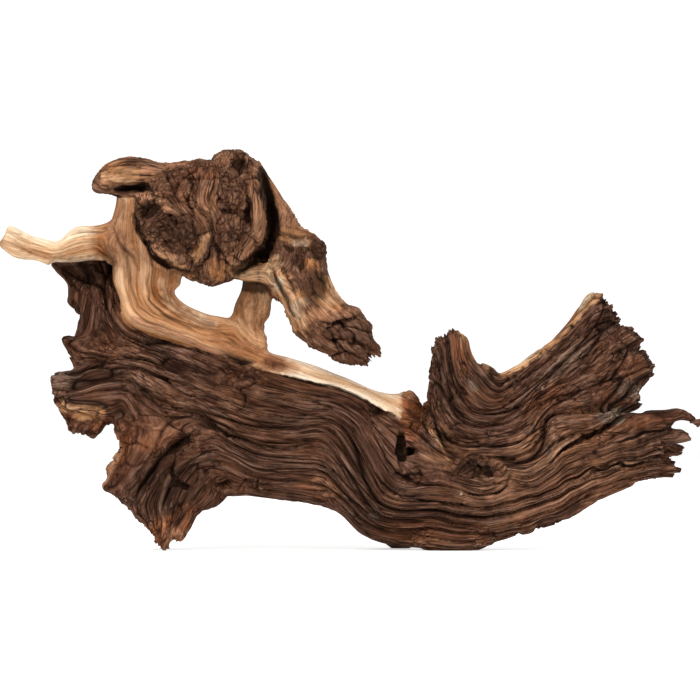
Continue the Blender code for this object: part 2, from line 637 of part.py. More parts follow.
def raise_ridges(mesh, near):
    """Lifts and sinks the skin along its own direction by the ridges of the grain and the lumps.

    The ridges are domes over cells that are long along the grain and narrow across it and in depth.
    The lumps are domes over cells as long as they are wide. A limb's kind says how much of each it
    carries, and a thin limb carries less."""
    points, normals = points_and_normals(mesh)
    kinds, thick = near[:, 0].astype(int), near[:, 1]
    x, y, z = points.T
    lift = np.zeros(len(points))
    for kind, lines in GRAIN_OF.items():
        here = kinds == kind
        run, fall, wide = GRAIN_RUN[kind]
        along = run * x[here] + fall * z[here]
        wander = WANDER * np.sin(along / WANDER_LENGTH * math.tau + y[here] / wide)
        across = across_grain(lines, x[here], z[here]) + wander
        ridge = cell_dome(np.column_stack([along / RIDGE_LENGTH, across / wide, y[here] / wide]), 3)
        lump = cell_dome(points[here] / LUMP_SIZE, 17)
        ridge_share, lump_share = RELIEF_SHARES[kind]
        lift[here] = RIDGE_HEIGHT * ridge_share * (ridge - DOME_LEVEL)
        lift[here] += LUMP_HEIGHT * lump_share * (lump - DOME_LEVEL)
    lift *= np.clip(thick / FULL_RELIEF_THICKNESS, 0.25, 1.0)
    put_points(mesh, points + normals * lift[:, None])


def thin_out(obj):
    """Merges the flattest faces until the body holds no more triangles than it may."""
    triangles = sum(len(face.vertices) - 2 for face in obj.data.polygons)
    fewer = obj.modifiers.new("fewer_faces", "DECIMATE")
    fewer.ratio = min(1.0, MOST_TRIANGLES / triangles)
    fewer.use_collapse_triangulate = True
    apply_modifiers(obj)


def flatten_feet(obj):
    """Cuts the lowest points off level, so that the root stands on small worn flats."""
    half = CUTTER_SIDE * MM / 2
    corners = [(x, y, z) for z in (-2 * half, 0.0) for y in (-half, half) for x in (-half, half)]
    sides = [(0, 2, 3, 1), (4, 5, 7, 6), (0, 1, 5, 4), (1, 3, 7, 5), (3, 2, 6, 7), (2, 0, 4, 6)]
    block = bpy.data.meshes.new("ground_cutter")
    block.from_pydata(corners, [], sides)
    block.update()
    cutter = bpy.data.objects.new("ground_cutter", block)
    bpy.context.scene.collection.objects.link(cutter)
    cutter.hide_render = True
    cutter.display_type = "WIRE"
    cut = obj.modifiers.new("level_feet", "BOOLEAN")
    cut.operation = "DIFFERENCE"
    cut.solver = "EXACT"
    cut.object = cutter
    apply_modifiers(obj)
    bpy.data.objects.remove(cutter)
    bpy.data.meshes.remove(block)


def keep_largest_body(mesh):
    """Removes every loose scrap, so that only the root's own skin is left."""
    body = bmesh.new()
    body.from_mesh(mesh)
    left = set(body.verts)
    largest = set()
    while left:
        found, edge = set(), {left.pop()}
        while edge:
            found |= edge
            edge = {e.other_vert(v) for v in edge for e in v.link_edges} - found
        left -= found
        largest = max(largest, found, key=len)
    bmesh.ops.delete(body, geom=[v for v in body.verts if v not in largest], context="VERTS")
    body.to_mesh(mesh)
    body.free()


def centre_over_origin(mesh):
    """Moves the root so that the middle of its box stands over the origin."""
    points, _ = points_and_normals(mesh)
    low, high = points.min(axis=0), points.max(axis=0)
    middle = (low + high) / 2
    put_points(mesh, points - (middle[0], middle[1], 0.0))
    print("moved by", -middle[:2].round(3), "mm; sides", (high - low).round(1), "mm")


def bark_material():
    """Weathered root bark: dark brown, matt."""
    material = bpy.data.materials.new("weathered_bark")
    material.use_nodes = True
    shader = material.node_tree.nodes["Principled BSDF"]
    shader.inputs["Base Color"].default_value = (*BARK_COLOUR, 1.0)
    shader.inputs["Roughness"].default_value = BARK_ROUGHNESS
    shader.inputs["Metallic"].default_value = 0.0
    return material


def limbs_and_knobs():
    """The mesh of every limb and knob, and a search tree over the limbs' points.

    The tree's points come with a row each: the limb's kind and how thick it is there."""
    points, faces, notes, start = [], [], [], 0
    for kind, stations in [(kind, stations) for kind in LIMBS for stations in LIMBS[kind]]:
        limb, limb_faces, thick = limb_surface(stations)
        limb, limb_faces = outwards(limb, limb_faces)
        points.append(limb)
        faces += [[start + corner for corner in face] for face in limb_faces]
        notes.append(np.column_stack([np.full(len(limb), kind), thick]))
        start += len(limb)
    tree = KDTree(start)
    for i, point in enumerate(np.vstack(points)):
        tree.insert(point, i)
    tree.balance()
    for knob in KNOBS:
        lump, lump_faces = outwards(*knob_surface(knob))
        points.append(lump)
        faces += [[start + corner for corner in face] for face in lump_faces]
        start += len(lump)
    mesh = bpy.data.meshes.new("mopani_root")
    mesh.from_pydata((np.vstack(points) * MM).tolist(), [], faces)
    mesh.update()
    return mesh, tree, np.vstack(notes)


def build_root():
    mesh, tree, notes = limbs_and_knobs()
    root = bpy.data.objects.new("mopani_root", mesh)
    bpy.context.scene.collection.objects.link(root)
    fuse_skin(root)
    points, _ = points_and_normals(root.data)
    near = notes[[tree.find(point)[1] for point in points]]
    press_hollows(root.data)
    raise_ridges(root.data, near)
    thin_out(root)
    flatten_feet(root)
    keep_largest_body(root.data)
    centre_over_origin(root.data)
    root.data.shade_smooth()
    root.data.set_sharp_from_angle(angle=math.radians(50))
    root.data.materials.clear()
    root.data.materials.append(bark_material())


for old in list(bpy.data.objects):
    bpy.data.objects.remove(old)
build_root()
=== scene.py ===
# %% [markdown]
# # A mopani root
#
# This lesson dresses a weathered mopani root: a piece of root wood that has lost most of its bark,
# split along its grain and stood in sand and water until only the hard wood was left. The solid
# that the scene starts from already has its size, its limbs and its broad ridges. What is missing is
# everything that the eye reads as old wood: narrow cracks, fibres, torn ends, burl knots and colour.
#
# The plan is to grow one fine skin over the same limbs, carve it along the grain, note on every
# point what kind of wood it is, and only then colour it. Lengths are millimetres until the last step.

# %% The solid model that everything is fitted to
import math

import bmesh
import bpy
import numpy as np
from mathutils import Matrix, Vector


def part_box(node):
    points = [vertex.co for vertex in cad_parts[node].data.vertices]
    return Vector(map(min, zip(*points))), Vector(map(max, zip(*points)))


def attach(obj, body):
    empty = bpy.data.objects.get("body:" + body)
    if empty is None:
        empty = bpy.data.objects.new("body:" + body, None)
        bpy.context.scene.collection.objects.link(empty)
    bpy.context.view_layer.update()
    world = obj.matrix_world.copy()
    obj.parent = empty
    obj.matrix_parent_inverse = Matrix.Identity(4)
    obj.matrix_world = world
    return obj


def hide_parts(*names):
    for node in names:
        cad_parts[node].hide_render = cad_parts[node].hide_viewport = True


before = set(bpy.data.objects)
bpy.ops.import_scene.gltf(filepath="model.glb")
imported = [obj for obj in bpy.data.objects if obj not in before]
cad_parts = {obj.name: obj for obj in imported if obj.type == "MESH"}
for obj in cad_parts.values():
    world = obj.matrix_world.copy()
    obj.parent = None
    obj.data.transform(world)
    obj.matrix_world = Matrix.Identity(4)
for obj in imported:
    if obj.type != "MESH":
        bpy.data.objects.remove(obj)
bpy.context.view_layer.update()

MM = 0.001
NODE = "mopani_root"
low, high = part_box(NODE)
print("solid:", [round(side / MM, 1) for side in high - low], "mm")

# %% [markdown]
# ## Limbs
#
# The real root grew as strands that twist round each other, so each strand, branch and lobe gets a
# limb of its own. A limb is a closed outline carried along a path. Its stations give two edges in the
# front plane (x and z) and how deep it is there, which is how a root is read from its outline.
# Drawing one mesh by hand would be quicker to look at but slower to correct: here, one number moves
# one edge.

# %% Stations of the limbs: one edge (x, z), the other edge (x, z), y of the middle, half depth
TRUNK = [
    (-178, 128, -180, 98, 4, 9),
    (-160, 138, -158, 90, 3, 16),
    (-140, 142, -140, 72, 2, 21),
    (-115, 137, -112, 52, 1, 25),
    (-90, 130, -88, 42, 0, 28),
    (-65, 122, -65, 36, -1, 30),
    (-45, 115, -45, 33, -1, 31),
    (-20, 109, -25, 29.5, 0, 31),
    (6, 101, -9, 25, 1, 30),
    (24, 93, 6, 11, 2, 30),
    (40, 84, 26, 4, 3, 30),
    (62, 80, 55, 1, 3, 29),
    (86, 80, 85, 3, 3, 28),
    (110, 86, 114, 11, 2, 26),
    (134, 88, 140, 21, 1, 23),
    (158, 89, 163, 33, -1, 19),
    (184, 89, 185, 43, -3, 15),
    (203, 88, 202, 50, -4, 11),
]
NECK = [
    (-170, 108, -118, 108, 5, 18),
    (-178, 126, -124, 126, 7, 17),
    (-177, 146, -134, 146, 9, 16),
    (-181, 163, -142, 163, 12, 15),
    (-182, 178, -148, 180, 15, 13),
    (-176, 190, -150, 191, 17, 9),
]
UPPER_SIDE_LOBE = [
    (-184.5, 138, -181, 123, -1, 5),
    (-178, 139, -176, 119, 0, 9),
    (-164, 140, -162, 114, 1, 13),
]
LOWER_SIDE_LOBE = [
    (-191, 113, -192, 98, -2, 8),
    (-183, 117, -184, 85, -2, 13),
    (-170, 121, -170, 76, -1, 16),
    (-158, 122, -159, 80, 0, 17),
    (-146, 122, -147, 88, 0, 17),
]
FOOT = [
    (-150, 86, -82, 66, -2, 21),
    (-152, 68, -79, 48, -4, 21),
    (-158.5, 42, -81, 36, -6, 19),
    (-148, 31, -88, 29.5, -8, 16),
    (-139, 20.5, -99, 24, -9, 13),
    (-130.5, 14, -105, 14, -10, 10),
    (-127, 8, -112, 8.5, -11, 7.5),
    (-123.5, 3, -117, 4, -11, 5.5),
    (-122, -2.5, -118, -2.5, -11, 5),
]
BACK_TOE = [
    (-132, 44, -94, 40, 8, 14),
    (-129, 22, -104, 22, 14, 11),
    (-125.5, 8, -112, 9, 19, 8),
    (-124, 2, -116, 2, 21, 6),
    (-123, -2, -117, -2, 22, 5),
]
BACK_STUB = [
    (-8, 74, 34, 70, 12, 20),
    (-1, 50, 40, 48, 20, 18),
    (10, 28, 42, 28, 28, 14),
    (20, 12, 41, 12, 33, 10),
    (26, -2, 39, -2, 36, 7),
]
BELLY = [
    (42, 26, 42, 2.6, -4, 15),
    (53, 26, 53, -1.4, -5, 19),
    (66, 26, 66, -2.4, -5, 20),
    (79, 26, 79, -1.4, -5, 19),
    (92, 26, 93, 4.2, -4, 14),
]
FIN = [
    (47, 76, 106, 74, 2, 27),
    (49.5, 94, 101, 92, 2, 23),
    (51, 110, 96, 109, 1, 18),
    (52.5, 122, 85, 120, 0, 14),
    (54, 132, 78, 130, -2, 11),
    (58, 138, 74.5, 138, -4, 8.5),
    (64, 142, 71, 142, -6, 5.5),
]
FIN_SHOULDER = [
    (82, 121, 79, 92, 3, 12),
    (92, 119, 90, 90, 3, 13),
    (97, 113, 99, 88, 3, 13),
]
RAISED_LOBE = [
    (76, 104, 88, 52, 1, 24),
    (92, 112, 112, 54, 3, 22),
    (106, 118, 134, 61, 6, 20),
    (119, 127.5, 153, 72, 9, 18),
    (131, 136, 171, 84, 12, 16.5),
    (142, 148.5, 184, 96, 15, 15),
    (152, 160, 192, 108, 18, 13),
    (160, 166.5, 195.5, 117, 21, 10),
    (169, 160, 193, 127, 23, 6),
]
TOP_SPLINTER = [
    (150, 84, 150, 66, -4, 13),
    (170, 88, 172, 72, -6, 11),
    (187, 91.5, 188, 78, -8, 9),
    (202, 92, 202, 81, -9, 7),
    (214, 92.5, 213, 83.5, -10, 5),
    (222, 88, 220, 83, -10, 3.8),
    (229, 82.5, 226.5, 79.5, -10, 2.6),
]
SECOND_SPLINTER = [
    (170, 79, 170, 62, -3, 11),
    (190, 80, 190, 66, -4, 9),
    (206, 79, 206, 68, -5, 7),
    (216, 77, 215, 70, -5, 5),
    (223, 74.5, 222, 71, -5, 3.2),
]
THIRD_SPLINTER = [
    (178, 68, 178, 56, 4, 12),
    (196, 69, 196, 59, 6, 9),
    (208, 70, 208, 61, 7, 6.5),
    (217, 67, 217, 62, 8, 4),
]
LOWEST_SPLINTER = [
    (178, 60, 178, 42, -1, 13),
    (194, 60, 194, 46, -2, 10),
    (206, 60, 206, 48, -3, 7),
    (214, 53, 210, 47, -4, 4.5),
]
PALE_BRANCH = [
    (-220.5, 211, -227.5, 198, -22, 7),
    (-211, 206.5, -216, 190.5, -20, 8),
    (-200, 201, -203, 188.5, -17, 8.5),
    (-190, 199.5, -192, 184, -15, 9.5),
    (-180, 206.5, -181, 184.5, -13, 11),
    (-169, 208.5, -167, 187, -11, 12.5),
    (-157, 212, -154, 186, -10, 13.5),
    (-146, 220, -138, 184, -9, 14),
]
PALE_ROOT = [
    (-150, 238, -127, 238, -8, 13),
    (-151, 226, -124, 224, -8, 14),
    (-154.5, 212, -120, 210, -9, 14),
    (-157, 198, -117, 197, -9, 15),
    (-153.5, 184, -115, 185, -10, 15),
    (-153, 174, -113, 174, -10, 15),
    (-149, 163, -113, 168, -10, 14.5),
    (-146.5, 150, -108.5, 161.5, -9, 14.5),
    (-131, 141, -100, 156, -8, 14.5),
    (-109, 134, -91, 152.5, -7, 14.5),
    (-90, 126.5, -79, 151, -6, 14.5),
    (-74, 121, -66, 145, -4, 14.5),
    (-58, 116, -55, 130.5, -2, 15),
    (-40, 111, -39, 125.5, 0, 16),
    (-20, 105.5, -17, 117.5, 1, 16),
    (0, 99.5, 3, 108.5, 1, 16),
    (13, 91.5, 16, 103.5, 1, 15),
    (22, 84.5, 28, 100.8, 1, 14),
    (33, 78.5, 36, 101.5, 2, 12),
    (41, 74, 43, 100.5, 3, 10),
    (46.5, 70, 46, 91, 4, 8),
]
PILLAR = [
    (-82, 128, -58, 120, -3, 13),
    (-79.5, 142, -56, 138, -2, 12),
    (-78, 151, -55.5, 148, 0, 11.5),
    (-74.5, 160, -52, 157, 3, 11),
    (-71, 168, -50.5, 166, 6, 11),
    (-70, 178, -51, 177, 7, 11),
    (-70, 190, -54, 190, 7, 11),
]
BURL = [
    (-116, 249, -62, 252, -14, 16),
    (-128, 244, -58, 244, -16, 25),
    (-137, 230, -55, 230, -17, 30),
    (-139, 215, -54.5, 213, -18, 31),
    (-133, 200, -57.5, 200, -17, 29),
    (-122, 189, -66, 190, -15, 24),
    (-111, 180, -74, 180.5, -13, 18),
    (-105, 176, -79, 175, -12, 12),
    (-97, 174, -86, 173, -11, 7),
]
BURL_DOME = [
    (-96, 244, -58, 240, -16, 20),
    (-89, 253, -62, 252, -16, 15),
    (-83, 259.5, -67, 259, -16, 10),
]
NOSE = [
    (-167.5, 240.5, -168, 233, -14, 6),
    (-161.5, 247.5, -161.5, 230.8, -14, 11),
    (-152, 254, -151.5, 229.5, -14, 14),
    (-139, 255.8, -139, 228, -14, 16),
    (-123, 252, -123, 226, -14, 19),
    (-106, 252, -106, 222, -15, 22),
]
BEAK = [
    (-80, 246, -60, 254.5, 6, 12),
    (-76, 236, -50, 241, 8, 13),
    (-70, 224, -42.5, 227, 8, 14),
    (-66, 211, -34, 212, 5, 15),
    (-64, 198, -22, 204.5, 2, 16),
    (-58, 185, -15, 195, -2, 18),
    (-49, 169.5, -14, 180, -6, 19),
    (-43, 158, -9, 168.5, -9, 18),
    (-36, 146, -2.5, 160.5, -12, 17),
    (-28.5, 136.5, 7, 156.5, -15, 16),
    (-18, 129.5, 13.5, 148.5, -18, 15),
    (-8, 122.5, 15, 139, -20, 13),
    (2, 120, 13, 130, -22, 9),
]
BEAK_ARM = [
    (-77, 186, -76.5, 177, -9, 8),
    (-68, 188, -68, 174.5, -9, 10),
    (-58, 190, -57, 173, -8, 12),
    (-47, 193, -49, 168, -7, 14),
    (-38, 194, -41, 160, -6, 15),
]
BEAK_TIP = [
    (6, 146, 0, 128, -20, 10),
    (13.5, 140.5, 9, 127, -21, 7.5),
    (21.5, 133, 18, 127, -22, 4.5),
]

# %% Knobs that stand out of the skin: x, y, z of the middle, half width, half depth, half height
KNOBS = [
    (-63, 2, 191, 10, 9, 9),
    (-57.5, -6, 135, 5, 7, 7),
    (39.5, -2, 97, 6, 9, 7),
    (-77, -43, 228, 8, 8, 8),
    (-74, -42, 210, 8, 8, 9),
    (-60, -32, 222, 4.5, 9, 24),
    (-113, -40, 205, 19, 11, 19),
    (-97, -34, 240, 9, 9, 8),
    (-112, -32, 241, 8, 9, 8),
    (-88, -34, 190, 7, 8, 12),
    (-73, -28, 188, 8, 9, 6),
    (-90, -20, 178, 9, 8, 6),
    (-109, -30, 187, 10, 7, 5),
    (-20, -14, 196, 6, 7, 6.5),
    (-34, -19, 190, 5.5, 6, 5.5),
    (-26.5, -22, 175, 8, 6, 8),
    (-18, -27, 138, 8, 6, 7),
    (2, -28, 134, 9, 6, 7),
    (0, -25, 150, 9, 6, 5),
    (-148, -10, 80, 6, 12, 7),
    (-152, -12, 44, 7, 9, 8),
    (-111, -12, 14, 6, 7, 6),
    (184, 16, 140, 8, 8, 8),
    (190, 14, 117, 7, 8, 9),
    (88, -16, 42, 12, 10, 6),
    (-70, -20, 102, 9, 8, 9),
]

# %% [markdown]
# ## From stations to surfaces
#
# Every limb is a surface over two parameters: how far along the limb, and the angle round it. A cubic
# through the stations keeps the edges smooth, and a rounded square section (a superellipse) is closer
# to a weathered root than a plain oval. Each limb ends in a point at the middle of its last ring.

# %% Rows between the stations
RING_SPACING = 2.5
FEWEST_RINGS = 5
POINTS_ROUND = 56
SECTION_SQUARENESS = 2.4
KNOB_RINGS = 11
KNOB_SIDES = 24
KNOB_POLE = math.radians(84)
THINNEST_HALF_DEPTH = 1.0


def smooth_rows(stations):
    """Rows on a cubic through the stations, whose slope at a station is that of its neighbours."""
    rows = np.array(stations, float)
    middles = np.column_stack([(rows[:, 0:2] + rows[:, 2:4]) / 2, rows[:, 4]])
    steps = np.linalg.norm(np.diff(middles, axis=0), axis=1)
    along = np.concatenate([[0.0], np.cumsum(steps)])
    slopes = np.gradient(rows, along, axis=0)
    wanted = np.linspace(0.0, along[-1], max(FEWEST_RINGS, int(along[-1] / RING_SPACING) + 2))
    before = np.clip(np.searchsorted(along, wanted, side="right") - 1, 0, len(rows) - 2)
    span = (along[before + 1] - along[before])[:, None]
    t = (wanted - along[before])[:, None] / span
    value = (2 * t**3 - 3 * t**2 + 1) * rows[before] + (3 * t**2 - 2 * t**3) * rows[before + 1]
    return value + span * ((t**3 - 2 * t**2 + t) * slopes[before] + (t**3 - t**2) * slopes[before + 1])


# %% Closed surfaces through rings of points
def closed_rings(rings):
    """Points and faces of a skin through rings, closed on a middle point at each end."""
    count, sides = rings.shape[:2]
    points = np.vstack([rings.reshape(-1, 3), rings[0].mean(axis=0), rings[-1].mean(axis=0)])
    here = np.arange(sides)
    there = (here + 1) % sides
    start = np.arange(count - 1)[:, None] * sides
    walls = np.stack([start + here, start + there, start + sides + there, start + sides + here], -1)
    end = (count - 1) * sides
    first_cap = np.column_stack([np.full(sides, count * sides), there, here])
    last_cap = np.column_stack([np.full(sides, count * sides + 1), end + here, end + there])
    triangles = np.vstack([walls.reshape(-1, 4)[:, [0, 1, 2]], walls.reshape(-1, 4)[:, [0, 2, 3]]])
    triangles = np.vstack([triangles, first_cap, last_cap])
    volume = np.linalg.det(points[triangles] - points.mean(axis=0)).sum()
    return points, triangles if volume > 0 else triangles[:, ::-1]


def limb_surface(stations):
    """A limb over the ring and the angle: the middle of the two edges, plus the half width times a
    rounded cosine of the angle, plus the half depth times a rounded sine. It also returns how thick
    the limb is at each point."""
    rows = smooth_rows(stations)
    first, second = rows[:, [0, 4, 1]], rows[:, [2, 4, 3]]
    reach = (first - second) / 2
    half_depth = np.maximum(rows[:, 5], THINNEST_HALF_DEPTH)
    angle = np.arange(POINTS_ROUND) / POINTS_ROUND * math.tau
    power = 2.0 / SECTION_SQUARENESS
    cosine = np.sign(np.cos(angle)) * np.abs(np.cos(angle)) ** power
    sine = np.sign(np.sin(angle)) * np.abs(np.sin(angle)) ** power
    rings = ((first + second) / 2)[:, None, :] + reach[:, None, :] * cosine[:, None]
    rings[..., 1] += half_depth[:, None] * sine
    thick = np.minimum(np.linalg.norm(reach, axis=1), half_depth)
    return *closed_rings(rings), np.append(np.repeat(thick, POINTS_ROUND), thick[[0, -1]])


def knob_surface(x, y, z, half_width, half_depth, half_height):
    """A knob over the angle up it and the angle round it: an ellipsoid."""
    up = np.linspace(-KNOB_POLE, KNOB_POLE, KNOB_RINGS)[:, None]
    turn = np.arange(KNOB_SIDES) / KNOB_SIDES * math.tau
    level = np.ones(KNOB_SIDES)
    rings = np.stack([x + half_width * np.cos(up) * np.cos(turn),
                      y + half_depth * np.cos(up) * np.sin(turn),
                      z + half_height * np.sin(up) * level], axis=-1)
    return closed_rings(rings)


# %% Small helpers that move numbers between numpy and a mesh
def mesh_object(name, points, faces):
    """A new object with a mesh of these points, which are in millimetres."""
    mesh = bpy.data.meshes.new(name)
    mesh.from_pydata((points * MM).tolist(), [], faces.tolist())
    mesh.update()
    made = bpy.data.objects.new(name, mesh)
    bpy.context.scene.collection.objects.link(made)
    return made


def read_points(mesh):
    """The points of a mesh, in millimetres."""
    flat = np.empty(len(mesh.vertices) * 3)
    mesh.vertices.foreach_get("co", flat)
    return flat.reshape(-1, 3) / MM


def write_points(mesh, points):
    """Moves the points of a mesh to these places, which are in millimetres."""
    mesh.vertices.foreach_set("co", (points * MM).astype(np.float32).ravel())
    mesh.update()


def read_normals(mesh):
    """Which way the skin faces at each point."""
    flat = np.empty(len(mesh.vertices) * 3, np.float32)
    mesh.vertex_normals.foreach_get("vector", flat)
    return flat.reshape(-1, 3).astype(float)


def write_note(mesh, name, values):
    """Notes a vector or a number on every point, for the material to read."""
    kind, key = ("FLOAT_VECTOR", "vector") if values.ndim == 2 else ("FLOAT", "value")
    note = mesh.attributes.get(name) or mesh.attributes.new(name, kind, "POINT")
    note.data.foreach_set(key, values.astype(np.float32).ravel())


def take_shape(obj):
    """Puts the mesh that the object's modifiers make in place of its own, and removes them."""
    bpy.context.view_layer.update()
    made = bpy.data.meshes.new_from_object(obj.evaluated_get(bpy.context.evaluated_depsgraph_get()))
    obj.modifiers.clear()
    old, obj.data = obj.data, made
    bpy.data.meshes.remove(old)


# %% [markdown]
# ## What each limb is made of
#
# The photographed root has four kinds of surface, and they weather differently. Bark wood is dark and
# split into long ridges. Pale wood is stripped and worn smooth. The burl is gnarled into lumps, and the
# hanging beak is half pale, half flaky. Each limb notes its kind as a colour on its points: red for
# pale, green for gnarled, blue for weathered, none of them for bark. The fourth channel carries how
# thick the limb is, so that thin tips are carved less.

# %% All limbs and knobs as two loose meshes
KIND_OF_LIMB = {
    (0, 0, 0): [TRUNK, NECK, UPPER_SIDE_LOBE, LOWER_SIDE_LOBE, FOOT, BACK_TOE, BACK_STUB, BELLY, FIN,
                FIN_SHOULDER, RAISED_LOBE, TOP_SPLINTER, SECOND_SPLINTER, THIRD_SPLINTER,
                LOWEST_SPLINTER],
    (1, 0, 0): [PALE_BRANCH, PALE_ROOT, PILLAR],
    (0, 1, 0): [BURL, BURL_DOME, NOSE],
    (0, 0, 1): [BEAK, BEAK_ARM, BEAK_TIP],
}
THICK_UNIT = 40.0


def joined(parts):
    """One list of points and one of faces for several surfaces."""
    starts = np.cumsum([0] + [len(points) for points, _ in parts[:-1]])
    return (np.vstack([points for points, _ in parts]),
            np.vstack([faces + start for (_, faces), start in zip(parts, starts)]))


limb_parts, limb_notes = [], []
for kind, tables in KIND_OF_LIMB.items():
    for table in tables:
        points, faces, thick = limb_surface(table)
        limb_parts.append((points, faces))
        limb_notes.append(np.column_stack([np.tile(kind, (len(points), 1)), thick / THICK_UNIT]))
limbs = mesh_object("limbs", *joined(limb_parts))
kinds = limbs.data.color_attributes.new("kind", "FLOAT_COLOR", "POINT")
kinds.data.foreach_set("color", np.vstack(limb_notes).astype(np.float32).ravel())
skin = mesh_object("skin", *joined(limb_parts + [knob_surface(*knob) for knob in KNOBS]))
print("limbs:", len(limb_parts), "with", len(limbs.data.vertices), "points")

# %% [markdown]
# ## One skin
#
# A root has no seams where a branch leaves it. A voxel remesh wraps all limbs in a single closed skin,
# a few smoothing passes round the inner corners as growth does, and one level of subdivision makes the
# faces smaller than the cracks that come next. The kinds are carried over from the nearest limb point.

# %% Fusing
SKIN_VOXEL = 1.45
SMOOTHING_PASSES, SMOOTHING_SHARE = 9, 0.5

remesh = skin.modifiers.new("one_skin", "REMESH")
remesh.mode = "VOXEL"
remesh.voxel_size = SKIN_VOXEL * MM
soften = skin.modifiers.new("soften", "SMOOTH")
soften.factor = SMOOTHING_SHARE
soften.iterations = SMOOTHING_PASSES
take_shape(skin)
skin.data.color_attributes.new("kind", "FLOAT_COLOR", "POINT")
carry = skin.modifiers.new("kinds", "DATA_TRANSFER")
carry.object = limbs
carry.use_vert_data = True
carry.data_types_verts = {"COLOR_VERTEX"}
carry.vert_mapping = "NEAREST"
finer = skin.modifiers.new("finer", "SUBSURF")
finer.levels = 1
finer.render_levels = 1
take_shape(skin)
bpy.data.objects.remove(limbs)
print("skin:", len(skin.data.vertices), "points,", len(skin.data.polygons), "faces")

# %% Working arrays
rest = read_points(skin.data)
outward = read_normals(skin.data)
flat = np.empty(len(rest) * 4, np.float32)
skin.data.color_attributes["kind"].data.foreach_get("color", flat)
flat = flat.reshape(-1, 4).astype(float)
edges = np.empty(len(skin.data.edges) * 2, np.int64)
skin.data.edges.foreach_get("vertices", edges)
edges = edges.reshape(-1, 2)
neighbours = np.bincount(edges.ravel(), minlength=len(rest))


def spread(values, passes):
    """Values moved halfway to the mean of the neighbouring points, several times over."""
    for _ in range(passes):
        total = np.bincount(edges[:, 0], values[edges[:, 1]], len(rest))
        total += np.bincount(edges[:, 1], values[edges[:, 0]], len(rest))
        values = 0.5 * values + 0.5 * total / neighbours
    return values


KIND_BLEND_PASSES = 6
pale, gnarled, weathered = (spread(flat[:, k], KIND_BLEND_PASSES) for k in range(3))
bark = np.clip(1.0 - pale - gnarled - weathered, 0.0, 1.0)
thickness = flat[:, 3] * THICK_UNIT
print("share of bark, pale, gnarled, weathered:",
      [round(float(share.mean()), 2) for share in (bark, pale, gnarled, weathered)])

# %% [markdown]
# ## Grain
#
# Old wood splits along its fibres, so the grain has to be known everywhere before anything is carved.
# It is drawn as contour lines: each row below is a distance across the grain and a line on the front of
# the root that keeps that distance. A thin-plate surface through all the lines gives the distance at
# any place between them. Following one value of it means running along a fibre. The surface is worked
# out once on a grid over the front plane, and every point of the skin reads it from there.

